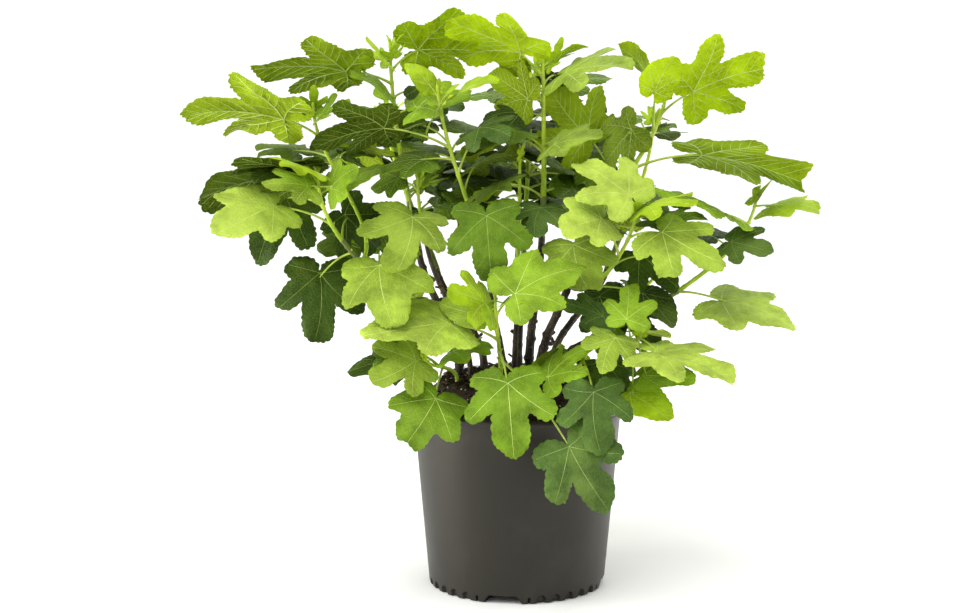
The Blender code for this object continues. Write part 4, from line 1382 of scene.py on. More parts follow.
    def build(self, leaves: Sheaf, ribs: Sheaf) -> None:
        """Add the blade and its veins to their sheaves.

        Args:
            leaves: Sheaf of the blades.
            ribs: Sheaf of the veins.
        """
        loop = self.margin()
        veins = self.veins(loop)
        starts = np.vstack([vein.places[:-1] for vein in veins])
        ends = np.vstack([vein.places[1:] for vein in veins])
        rim = (loop, np.roll(loop, -1, axis=0))
        grid = max(self.grain / self.length, self.grid_least)
        low, high = loop.min(axis=0), loop.max(axis=0)
        columns = np.arange(low[0], high[0], grid)
        rows = np.arange(low[1], high[1], grid * self.grid_rise)
        spots = np.stack(np.meshgrid(columns, rows), axis=-1)
        spots[1::2, :, 0] += grid * 0.5
        spots = spots.reshape(-1, 2)
        spots = spots[inside_loop(spots, loop)]
        spots = spots[segments_distance(spots, *rim) > grid * 0.55]
        spots = spots[segments_distance(spots, starts, ends) > grid * 0.5]
        places = [loop]
        edges = [(index, (index + 1) % len(loop)) for index in range(len(loop))]
        count = len(loop)
        for vein in veins:
            edges += [(count + index, count + index + 1) for index in range(len(vein.places) - 1)]
            places.append(vein.places)
            count += len(vein.places)
        places.append(spots)
        laid = delaunay_2d_cdt([Vector(place) for place in np.vstack(places)], edges, [], 0, 1e-5, False)
        flat = np.array([tuple(place) for place in laid[0]])
        faces = np.array(laid[2])
        faces = faces[inside_loop(flat[faces].mean(axis=1), loop)]
        a, b, c = (flat[faces[:, corner]] for corner in range(3))
        area = (b[:, 0] - a[:, 0]) * (c[:, 1] - a[:, 1]) - (b[:, 1] - a[:, 1]) * (c[:, 0] - a[:, 0])
        faces = np.where((area < 0.0)[:, None], faces[:, ::-1], faces)
        number = np.full(len(flat), -1)
        used = np.unique(faces)
        number[used] = np.arange(len(used))
        flat, faces = flat[used], number[faces]
        lines = np.concatenate([faces[:, (0, 1)], faces[:, (1, 2)], faces[:, (2, 0)]])
        _, first, times = np.unique(np.sort(lines, axis=1), axis=0, return_index=True, return_counts=True)
        border = lines[first[times == 1]]
        puff = 1.0 - bell(segments_distance(flat, starts, ends), self.puff_width)
        calm = 1.0 - bell(segments_distance(flat, *rim), self.calm_width)
        skin = self.spot(flat, self.quilt * puff * calm)
        half = np.full(len(flat), self.thickness * 0.5)
        half[border.ravel()] = self.edge * 0.5
        lift = np.array(self.axes.out) * half[:, None]
        count = len(flat)
        a, b = border[:, 0], border[:, 1]
        wall = np.concatenate([np.stack([b, a, a + count], -1), np.stack([b, a + count, b + count], -1)])
        slot = 2 * TINTS.index(self.leaf.tint)
        slots = np.concatenate([np.full(len(faces), slot), np.full(len(faces) + len(wall), slot + 1)])
        leaves.add(np.vstack([skin + lift, skin - lift]),
                   np.concatenate([faces, faces[:, ::-1] + count, wall]), slots)
        self.build_ribs(veins, ribs)

    def build_ribs(self, veins: Sequence[Vein], ribs: Sheaf) -> None:
        """Add the veins as slender ribs that stand out below the blade and a little above it.

        Args:
            veins: The veins.
            ribs: Sheaf of the veins.
        """
        out = np.array(self.axes.out)
        # Veins of leaves dealt the shade greens take the darker vein colour, carrying the same painted shade.
        dim = self.leaf.tint in (Tint.DEEP, Tint.OLIVE, Tint.GREY)
        clear = SKINS.index(Skin.DIM_VEIN if dim else Skin.VEIN)
        soft = len(SKINS) + 2 * max(TINTS.index(self.leaf.tint) - 1, 1)
        bright = SKINS.index(Skin.DIM_VEIN if dim or self.leaf.tint is Tint.GREEN else Skin.VEIN)
        for number, vein in enumerate(veins):
            middle = self.spot(vein.places, np.zeros(len(vein.places)))
            ahead = unit(np.gradient(middle, axis=0))
            side = unit(np.cross(out, ahead))
            width = np.linspace(*vein.widths, len(middle))[:, None] * self.length * 0.5
            half = self.thickness * 0.5
            up, down = out * (half + 0.0001), out * (half + width * 0.7)
            rings = np.stack([middle + side * width * 0.7 - down, middle + side * width * 0.42 + up,
                              middle - side * width * 0.42 + up, middle - side * width * 0.7 - down], axis=1)
            last = (len(middle) - 1) * 4
            caps = np.array([(0, 2, 1), (0, 3, 2), (last, last + 1, last + 2), (last, last + 2, last + 3)])
            slots = np.full((2 * (len(middle) - 1) * 4), clear).reshape(2, -1, 4)
            slots[:, :, 1] = bright if number < self.main_count else soft
            ribs.add(rings.reshape(-1, 3), np.concatenate([ring_triangles(len(middle), 4), caps]),
                     np.concatenate([slots.ravel(), np.full(4, clear)]))


@dataclass
class Stalk:
    """The stalk of one leaf, thick where it leaves the shoot, arched, and sunk into the blade."""

    start: Vector
    blade: Blade
    rings: int = 11
    sides: int = 8

    def build(self, shoots: Sheaf) -> None:
        """Add the stalk to the sheaf of the shoots."""
        blade = self.blade
        run = blade.joint - self.start
        sink = STALK_SINK / blade.length
        rise = blade.bend.height(sink, 0.0) * blade.length
        end = blade.joint + blade.axes.along * STALK_SINK + blade.axes.out * rise
        middle = self.start + run * 0.5 + UP * run.length * STALK_ARCH
        control = middle * 2.0 - (self.start + end) * 0.5
        shares = np.linspace(0.0, 1.0, self.rings)[:, None]
        path = (np.array(self.start) * (1.0 - shares) ** 2 + np.array(control) * 2.0 * shares * (1.0 - shares)
                + np.array(end) * shares**2)
        radius = STALK_GIRTH / 2.0 * (STALK_SLENDER + STALK_STOUTER * blade.length) * 0.92
        share = shares[:, 0]
        foot, head = np.exp(-share * 9.0), np.exp(-(1.0 - share) * 16.0)
        radii = radius * (1.0 - 0.25 * share + 0.55 * foot - 0.45 * head)
        shoots.add(*tube(path, radii, self.sides), SKINS.index(Skin.STALK))


@dataclass
class Group:
    """The three sheaves of one part of the crown, and the nodes they stand for."""

    leaves: Sheaf = field(default_factory=Sheaf)
    ribs: Sheaf = field(default_factory=Sheaf)
    shoots: Sheaf = field(default_factory=Sheaf)
    nodes: list[str] = field(default_factory=list)


@dataclass
class Crown:
    """Every shoot with its leaves, grown again by the rule of the solids and carried further.

    The rule turns a leaf a little where it has no room, so each leaf is tried in every
    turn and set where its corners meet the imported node.
    """

    limbs: dict[str, Axis]
    fit: float = 0.0016
    shoot_rings: int = 70
    shoot_sides: int = 12
    tuft: int = 4
    inner: int = 3
    inner_back: int = 7
    tries: int = 90
    inner_shares: tuple[float, float] = (0.25, 0.92)
    inner_sizes: tuple[float, float] = (4.2, 7.0)
    inner_arc: tuple[float, float] = (-15.0, 195.0)
    box_low: float = 0.004
    box_high: float = 0.001
    foot_sunk: float = 0.004
    scars: int = 12
    scar_first: float = 0.06
    scar_every: float = 0.075
    scar_jitter: float = 0.015
    node_swell: float = 0.16
    node_width: float = 0.012
    tip_from: float = 0.55
    old_below: float = 0.22
    old_girth: float = 0.0028
    tuft_top: float = 0.995
    tuft_step: float = 0.022
    tuft_size: float = 1.7
    tuft_growth: float = 0.42
    groups: dict[str, Group] = field(default_factory=dict)
    extras: list[BVHTree] = field(default_factory=list)

    def __post_init__(self) -> None:
        """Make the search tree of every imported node."""
        self.trees: dict[str, BVHTree] = {}
        for name, node in frame["nodes"].items():
            points = [vert.co for vert in node.data.vertices]
            faces = [tuple(face.vertices) for face in node.data.polygons]
            self.trees[name] = BVHTree.FromPolygons(points, faces)

    def settle(self, leaf: Leaf, seed: str, start: Vector, name: str) -> Blade | None:
        """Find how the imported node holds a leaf.

        Args:
            leaf: The leaf as planned.
            seed: Its seed.
            start: Its node on the shoot.
            name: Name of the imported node.

        Returns:
            The blade in its place, or None where the node has no such leaf.
        """
        tree = self.trees[name]
        corners = blade_outline(HALVES[leaf.form], seed)
        bend = blade_bend(leaf.form, seed, leaf.lean < 0)
        length = leaf.blade[0] * CM
        best, least = None, self.fit
        for turn in TURNS:
            for tilt in TILTS:
                away = direction(leaf.stalk[1] + turn / 2, leaf.stalk[2] + tilt / 2)
                joint = start + away * (leaf.stalk[0] * CM)
                axes = blade_axes(leaf.blade[1] + turn, leaf.blade[2] + tilt, leaf.lean)
                total = 0.0
                for u, v in corners:
                    point = joint + (axes.along * u + axes.across * v + axes.out * bend.height(u, v)) * length
                    total += tree.find_nearest(point)[3]
                    if total > least * len(corners):
                        break
                if total / len(corners) < least:
                    best, least = Blade(leaf, seed, joint, axes), total / len(corners)
        return best

    def build_shoot(self, axis: Axis, nodes: Sequence[float], shoots: Sheaf, seed: str) -> None:
        """Add a green shoot with swollen nodes, ring scars and an end bud.

        Args:
            axis: The shoot's axis.
            nodes: Shares of its length where leaves stand.
            shoots: Sheaf of the shoots.
            seed: Seed of this shoot.
        """
        chance = random.Random(seed + "shoot")
        fine = array(axis.fine)
        fine[0] -= (fine[1] - fine[0]) / np.linalg.norm(fine[1] - fine[0]) * self.foot_sunk
        share = np.linspace(0.0, 1.0, len(fine))
        jitter = self.scar_jitter
        scars = {min(0.98, self.scar_first + self.scar_every * step + chance.uniform(-jitter, jitter))
                 for step in range(self.scars)}
        joints = sorted(set(nodes) | scars)
        radii = axis.girth(share)
        for joint in joints:
            radii = radii * (1.0 + self.node_swell * bell(share - joint, self.node_width))
            radii = radii * (1.0 - 0.05 * bell(share - joint - 0.02, 0.006))
        points, triangles = tube(fine, radii, self.shoot_sides)
        height = triangles[:, 0] // self.shoot_sides / len(fine)
        slots = np.full(len(triangles), SKINS.index(Skin.SHOOT))
        slots[height > self.tip_from] = SKINS.index(Skin.TIP)
        if axis.radii[0] > self.old_girth:
            slots[height < self.old_below] = SKINS.index(Skin.OLD_SHOOT)
        shoots.add(points, triangles, slots)
        self.build_bud(axis.fine[-1], axis.fine[-1] - axis.fine[-4], 0.011, axis.radii[1] * 1.25, shoots)
        for joint in joints[1::2]:
            spot, along = place_along(axis.fine, joint)
            out = direction(chance.uniform(0.0, 360.0), chance.uniform(10.0, 50.0))
            out = (out - along * out.dot(along) * 0.7).normalized()
            foot = spot + out * axis.girth(joint) * 0.6
            self.build_bud(foot, out + along, 0.0042, 0.0012, shoots)

    @staticmethod
    def build_bud(foot: Vector, ahead: Vector, length: float, radius: float, shoots: Sheaf) -> None:
        """Add a pointed bud.

        Args:
            foot: Middle of its foot.
            ahead: Direction of its point.
            length: Length in metres.
            radius: Greatest radius.
            shoots: Sheaf of the shoots.
        """
        share = np.linspace(0.0, 1.0, 8)
        path = np.array(foot) + np.array(ahead.normalized()) * (share * length)[:, None]
        path[:, 2] += 0.08 * length * share**2
        radii = radius * (0.75 + 0.8 * share - 1.55 * share**2.2) + 0.00015
        shoots.add(*tube(path, radii, 8), SKINS.index(Skin.TIP))

    def add_extra(self, name: str, start: Vector, leaf: Leaf, seed: str, group: Group) -> bool:
        """Add one leaf beyond those of the solids, where it has room.

        Args:
            name: Name of the shoot that bears it.
            start: Its node on the shoot.
            leaf: The leaf.
            seed: Its seed.
            group: The sheaves it belongs to.

        Returns:
            True where the leaf was added.
        """
        joint = start + direction(*leaf.stalk[1:]) * (leaf.stalk[0] * CM)
        blade = Blade(leaf, seed, joint, blade_axes(*leaf.blade[1:], leaf.lean))
        points = blade.reach()
        low, high = (np.array(corner) for corner in CAD_BOX)
        outside = (points < low + self.box_low).any() or (points > high - self.box_high).any()
        if outside or in_sky(points):
            return False
        count = len(points) - 1
        fan = [(index, (index + 1) % count, count) for index in range(count)]
        tree = BVHTree.FromPolygons([tuple(point) for point in points], fan)
        others = [other for key, other in self.trees.items() if key != name] + self.extras
        if any(tree.overlap(other) for other in others):
            return False
        self.extras.append(tree)
        blade.build(group.leaves, group.ribs)
        Stalk(start, blade).build(group.shoots)
        return True

    def build_tuft(self, name: str, axis: Axis, group: Group) -> None:
        """Add the small young leaves that stand round the tip of a shoot.

        Args:
            name: Name of the shoot.
            axis: Its axis.
            group: The sheaves it belongs to.
        """
        chance = random.Random(name + "tuft")
        turn = chance.uniform(0.0, 360.0)
        for number in range(self.tuft):
            share = self.tuft_top - self.tuft_step * number
            spot, _ = place_along(axis.fine, share)
            heading = turn + GOLDEN_TURN * number
            size = self.tuft_size + self.tuft_growth * number + chance.uniform(-0.2, 0.3)
            leaf = Leaf(share, (0.35 + 0.22 * number, heading, 62.0 - 8.0 * number),
                        (size, heading + chance.uniform(-20.0, 20.0), 66.0 - 12.0 * number),
                        chance.uniform(0.0, 40.0), Tint.LIME, Form.YOUNG)
            self.add_extra(name, spot, leaf, f"{name}_tuft_{number}", group)

    def build_inner(self, name: str, axis: Axis, group: Group) -> None:
        """Carry the shoot further inside the crown with smaller shaded leaves on side twigs.

        Args:
            name: Name of the shoot.
            axis: Its axis.
            group: The sheaves it belongs to.
        """
        chance = random.Random(name + "inner")
        added = 0
        behind = SHOOTS[name].group == "back"
        for number in range(self.tries):
            share = chance.uniform(*self.inner_shares)
            spot, _ = place_along(axis.fine, share)
            heading = chance.uniform(*((0.0, 360.0) if behind else self.inner_arc))
            size = chance.uniform(*self.inner_sizes) * (1.1 - 0.3 * share)
            facing = math.sin(math.radians(heading)) < 0.2
            leaf = Leaf(share, (size * chance.uniform(0.5, 0.9), heading, chance.uniform(0.0, 40.0)),
                        (size, heading + chance.uniform(-30.0, 30.0), chance.uniform(-50.0, 5.0)),
                        chance.uniform(10.0, 60.0) if facing else chance.uniform(-20.0, 30.0),
                        chance.choice(RULE_TINTS), chance.choice((Form.LOBED, Form.BROAD)))
            added += self.add_extra(name, spot, leaf, f"{name}_inner_{number}", group)
            if added == (self.inner_back if behind else self.inner):
                break
        log.info("%s: %d more leaves", name, added)

    def build(self) -> None:
        """Grow the whole crown and make its joined pieces."""
        axes: dict[str, Axis] = {}
        for name, shoot in SHOOTS.items():
            radii = (shoot.girth * CM / 2.0, SHOOT_TIP_GIRTH / 2.0)
            axes[name] = grow_axis(self.limbs.get(shoot.parent), shoot.start, shoot.tip, radii, shoot.upturn,
                                   SHOOT_RINGS, self.shoot_rings)
        for name, shoot in SHOOTS.items():
            group = self.groups.setdefault(shoot.group, Group())
            group.nodes.append(name)
            axis = axes[name]
            kinds = (("planned", shoot.leaves), ("rule", rule_leaves(shoot, name)))
            nodes = []
            for kind, leaves in kinds:
                for number, leaf in enumerate(leaves):
                    start, _ = place_along(axis.path, leaf.node)
                    blade = self.settle(leaf, f"{name}_{kind}_{number}", start, name)
                    if blade is None or (kind == "rule" and in_sky(blade.reach())):
                        log.info("%s %s %d stands nowhere", name, kind, number)
                        continue
                    nodes.append(leaf.node)
                    blade.build(group.leaves, group.ribs)
                    Stalk(start, blade).build(group.shoots)
            self.build_shoot(axis, nodes, group.shoots, name)
            self.build_tuft(name, axis, group)
        for name, shoot in SHOOTS.items():
            self.build_inner(name, axes[name], self.groups[shoot.group])
        self.dress()

    def dress(self) -> None:
        """Turn the sheaves into pieces with their finishes."""
        blades = []
        for tint in TINTS:
            upper, under = BLADE_COLOURS[tint]
            blades.append(LeafFinish(f"leaf_{tint.value}_upper", upper, 0.54, 0.22, 0.16, 0.75).material())
            blades.append(LeafFinish(f"leaf_{tint.value}_under", under, 0.70, 0.70, 0.06, 0.2).material())
        skins = [StemFinish(f"skin_{skin.name.lower()}", skin.value).material() for skin in SKINS]
        for name, group in self.groups.items():
            for piece in (
                group.leaves.piece(f"leaves_{name}", blades, 70.0),
                group.ribs.piece(f"veins_{name}", skins + blades, 100.0),
                group.shoots.piece(f"shoots_{name}", skins, 50.0),
            ):
                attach(piece, ROOT)
                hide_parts(*group.nodes)


# Stems

@dataclass
class Bark:
    """The woody stems and the bough, with nodes, ring scars, pruned stubs and a flared foot."""

    rings: int = 130
    sides: int = 26
    sunk: float = 0.014
    node_every: float = 0.022
    flare: float = 0.30
    flare_reach: float = 0.016
    stubs: int = 3
    scar_width: float = 0.0022
    scar_height: float = 0.10
    groove_after: float = 0.004
    groove_width: float = 0.0014
    groove_depth: float = 0.05
    swelling: float = 0.32
    swelling_width: float = 0.0035
    node_turn: float = 2.4
    limbs: dict[str, Axis] = field(default_factory=dict)

    def grow(self) -> dict[str, Axis]:
        """Grow the axes of all limbs.

        Returns:
            The axes by name.
        """
        for name, limb in LIMBS.items():
            radii = (limb.girth[0] * CM / 2.0, limb.girth[1] * CM / 2.0)
            self.limbs[name] = grow_axis(self.limbs.get(limb.parent), limb.start, limb.tip, radii,
                                         limb.upturn, STEM_RINGS, self.rings)
        return self.limbs

    def build_limb(self, name: str, axis: Axis, sheaf: Sheaf) -> None:
        """Add one limb with its relief.

        Args:
            name: Name of the limb.
            axis: Its axis.
            sheaf: Sheaf of the bark.
        """
        chance = random.Random(name + "bark")
        path = array(axis.fine)
        first = path[1] - path[0]
        path = np.vstack([path[0] - first / np.linalg.norm(first) * self.sunk, path])
        gone = length_along(path)
        radii = axis.girth(gone / gone[-1]) * (1.0 + self.flare * np.exp(-gone / self.flare_reach))
        relief = np.ones((len(path), self.sides))
        spot = self.sunk + chance.uniform(0.006, 0.02)
        angles = np.arange(self.sides) * 2.0 * math.pi / self.sides
        turn = chance.uniform(0.0, ANY_PHASE)
        while spot < gone[-1] - self.groove_after:
            ring = bell(gone - spot, self.scar_width)
            groove = bell(gone - spot - self.groove_after, self.groove_width)
            side = bell(np.mod(angles - turn + math.pi, FULL_TURN) - math.pi, 0.7)
            relief += self.scar_height * ring[:, None] - self.groove_depth * groove[:, None]
            swollen = bell(gone - spot - 0.001, self.swelling_width)
            relief += self.swelling * swollen[:, None] * side[None]
            spot += self.node_every * chance.uniform(0.6, 1.5)
            turn += self.node_turn
        offset = Vector((chance.uniform(0.0, 9.0), chance.uniform(0.0, 9.0), 0.0))
        for ring in range(len(path)):
            for side in range(self.sides):
                around = Vector((math.cos(angles[side]), math.sin(angles[side]), gone[ring] * 60.0))
                relief[ring, side] += 0.07 * noise.noise(around * 1.3 + offset) + 0.035 * noise.noise(
                    Vector((around.x * 5.0, around.y * 5.0, around.z * 2.4)) + offset)
        sheaf.add(*tube(path, radii[:, None] * relief, self.sides), 0)
        for _ in range(self.stubs):
            self.build_stub(axis, chance, sheaf)

    def build_stub(self, axis: Axis, chance: random.Random, sheaf: Sheaf) -> None:
        """Add the stub of a pruned side twig.

        Args:
            axis: The limb that bears it.
            chance: The limb's chance.
            sheaf: Sheaf of the bark.
        """
        share = chance.uniform(0.15, 0.92)
        spot, along = place_along(axis.fine, share)
        out = direction(chance.uniform(0.0, 360.0), 20.0)
        out = (out - along * out.dot(along)).normalized() + along * chance.uniform(0.4, 1.0)
        length = axis.girth(share) + chance.uniform(0.004, 0.010)
        steps = np.linspace(0.0, 1.0, 7)
        path = np.array(spot) + np.array(out.normalized()) * (steps * length)[:, None]
        radius = axis.girth(share) * chance.uniform(0.35, 0.5)
        radii = radius * (1.0 + 0.25 * bell(steps - 0.92, 0.1) + 0.4 * np.exp(-steps * 3.0))
        sheaf.add(*tube(path, radii, 12), 0)

    def build(self) -> None:
        """Make the joined piece of all woody stems."""
        sheaf = Sheaf()
        for name, axis in self.limbs.items():
            self.build_limb(name, axis, sheaf)
        piece = sheaf.piece("woody_stems", [BarkFinish().material()], 60.0)
        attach(piece, ROOT)
        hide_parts(*LIMBS)


# Pot and soil

@dataclass
class Pot:
    """A turned plastic nursery pot with a rolled lip, drain notches and grooves at its foot."""

    height: float = 0.225
    foot_radius: float = 0.1065
    body_radius: float = 0.1255
    lip_radius: float = 0.140
    lip_height: float = 0.0065
    lip_round: float = 0.0030
    wall: float = 0.0025
    floor: float = 0.012
    foot_round: float = 0.0022
    sides: int = 360
    notches: int = 4
    notch_first: float = -100.0
    notch_half: tuple[float, float] = (12.0, 9.0)
    notch_height: float = 0.0100
    notch_reach: float = 0.030
    notch_flat: float = 0.06
    groove_every: float = 10.0
    groove_height: float = 0.0097
    groove_depth: float = 0.0036
    groove_arc: float = 28.0
    groove_widths: tuple[Flat, ...] = ((0.0070, 2.6), (0.0090, 1.6), (1.0, 0.6))
    foot_heights: tuple[float, ...] = (0.0035, 0.0050, 0.0065, 0.0078, 0.0088, 0.0096)
    above_notch: float = 0.0108
    wall_steps: int = 14
    lip_steps: int = 8
    middle_radius: float = 0.03
    under_lip: float = 0.0105
    wall_start: float = 0.0135

    def radius_at(self, height: float) -> float:
        """Outer radius of the tapered wall at a height."""
        rise = self.height - self.under_lip
        return self.foot_radius + (self.body_radius - self.foot_radius) * height / rise

    def profile(self) -> list[Flat]:
        """Radius and height of each ring, from the middle of the underside to the inner floor.

        Returns:
            The rings in order.
        """
        rows = [(self.middle_radius, 0.0), (self.foot_radius - self.notch_reach, 0.0),
                (self.foot_radius - 0.012, 0.0), (self.foot_radius - self.foot_round, 0.0)]
        for step in range(1, 4):
            turn = math.pi / 2.0 * step / 3.0
            rows.append((self.foot_radius - self.foot_round * (1.0 - math.sin(turn)),
                         self.foot_round * (1.0 - math.cos(turn))))
        for height in (*self.foot_heights, self.notch_height, self.above_notch, self.wall_start):
            rows.append((self.radius_at(height), height))
        steps = self.wall_steps
        top = self.height - self.under_lip
        for step in range(1, steps + 1):
            height = self.wall_start + (top - self.wall_start) * step / steps
            rows.append((self.radius_at(height), height))
        under = self.height - self.lip_height
        rows += [(self.body_radius + 0.0012, top + 0.0022), (self.body_radius + 0.004, top + 0.0034),
                 (self.lip_radius - self.lip_round - 0.003, under - 0.0004)]
        for step in range(self.lip_steps + 1):
            turn = -math.pi / 2.0 + math.pi * step / self.lip_steps
            rows.append((self.lip_radius - self.lip_round + self.lip_round * math.cos(turn),
                         self.height - self.lip_height / 2.0 + self.lip_height / 2.0 * math.sin(turn)))
        inner = self.body_radius - self.wall
        rows += [(inner + 0.006, self.height - 0.0003), (inner + 0.0032, self.height - 0.0014),
                 (inner + 0.001, self.height - 0.004), (inner, top), (inner - 0.004, self.height - 0.05)]
        rows += [(self.radius_at(self.floor) - self.wall, self.floor),
                 (self.middle_radius, self.floor)]
        return rows

    def turn_shell(self) -> bpy.types.Object:
        """Extrude a circle ring by ring into the shell.

        Returns:
            The shell in edit mode.
        """
        rows = self.profile()
        bpy.ops.object.select_all(action="DESELECT")
        bpy.ops.mesh.primitive_circle_add(vertices=self.sides, radius=rows[0][0], fill_type="NGON")
        pot = bpy.context.object
        pot.name = pot.data.name = "nursery_pot"
        bpy.ops.object.mode_set(mode="EDIT")
        bpy.ops.mesh.select_mode(type="EDGE")
        bpy.ops.mesh.select_all(action="SELECT")
        bpy.ops.mesh.flip_normals()
        for (radius, height), (wide, high) in zip(rows, rows[1:]):
            bpy.ops.mesh.extrude_edges_move()
            grow = wide / radius
            bpy.ops.transform.resize(value=(grow, grow, 1.0), center_override=(0.0, 0.0, 0.0))
            bpy.ops.transform.translate(value=(0.0, 0.0, high - height))
        bpy.ops.mesh.edge_face_add()
        bpy.ops.mesh.select_all(action="SELECT")
        bpy.ops.mesh.normals_make_consistent(inside=False)
        bpy.ops.mesh.select_all(action="DESELECT")
        return pot

    def push(self, pot: bpy.types.Object, depths: dict[int, float]) -> None:
        """Push corners of the wall in towards the middle axis.

        Args:
            pot: The shell.
            depths: Depth in metres by corner number.
        """
        bpy.ops.object.mode_set(mode="OBJECT")
        for depth in sorted(set(depths.values())):
            for vert in pot.data.vertices:
                vert.select = depths.get(vert.index) == depth
            bpy.ops.object.mode_set(mode="EDIT")
            shrink = 1.0 - depth / self.foot_radius
            bpy.ops.transform.resize(value=(shrink, shrink, 1.0), center_override=(0.0, 0.0, 0.0))
            bpy.ops.object.mode_set(mode="OBJECT")

    def mark_foot(self, pot: bpy.types.Object) -> None:
        """Cut the drain notches up into the foot, and sink the grooves into its wall.

        Args:
            pot: The shell.
        """
        depths: dict[int, float] = {}
        lifted: set[int] = set()
        turn = 360.0 / self.notches
        for vert in pot.data.vertices:
            radius = math.hypot(vert.co.x, vert.co.y)
            height = vert.co.z
            inner = self.foot_radius - self.notch_reach - 1e-4
            if height > self.notch_height + 1e-5 or radius < inner or radius > self.foot_radius + 0.003:
                continue
            angle = math.degrees(math.atan2(vert.co.y, vert.co.x)) - self.notch_first
            off = (angle + turn / 2.0) % turn - turn / 2.0
            low, high = self.notch_half
            share = height / self.notch_height
            if abs(off) < low + (high - low) * share - 0.1 and share < 0.99:
                lifted.add(vert.index)
                continue
            from_middle = turn / 2.0 - abs(off)
            too_far_in = radius < self.foot_radius - 0.005
            if too_far_in or height > self.groove_height or from_middle > self.groove_arc:
                continue
            half = self.groove_every / 2.0
            local = (from_middle + half) % self.groove_every - half
            width = next(wide for under, wide in self.groove_widths if height < under)
            if abs(local) < width:
                depths[vert.index] = self.groove_depth
        self.push(pot, depths)
        for vert in pot.data.vertices:
            vert.select = vert.index in lifted
        bpy.ops.object.mode_set(mode="EDIT")
        ceiling = (0.0, 0.0, self.notch_height)
        bpy.ops.transform.resize(value=(1.0, 1.0, self.notch_flat), center_override=ceiling)
        bpy.ops.object.mode_set(mode="OBJECT")

    def build(self) -> None:
        """Make the pot."""
        pot = self.turn_shell()
        bpy.ops.object.mode_set(mode="OBJECT")
        self.mark_foot(pot)
        bpy.ops.object.shade_smooth_by_angle(angle=math.radians(32.0))
        pot.data.materials.append(PlasticFinish().material())
        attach(pot, ROOT)
        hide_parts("pot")
        log.info("nursery_pot: %d faces", len(pot.data.polygons))


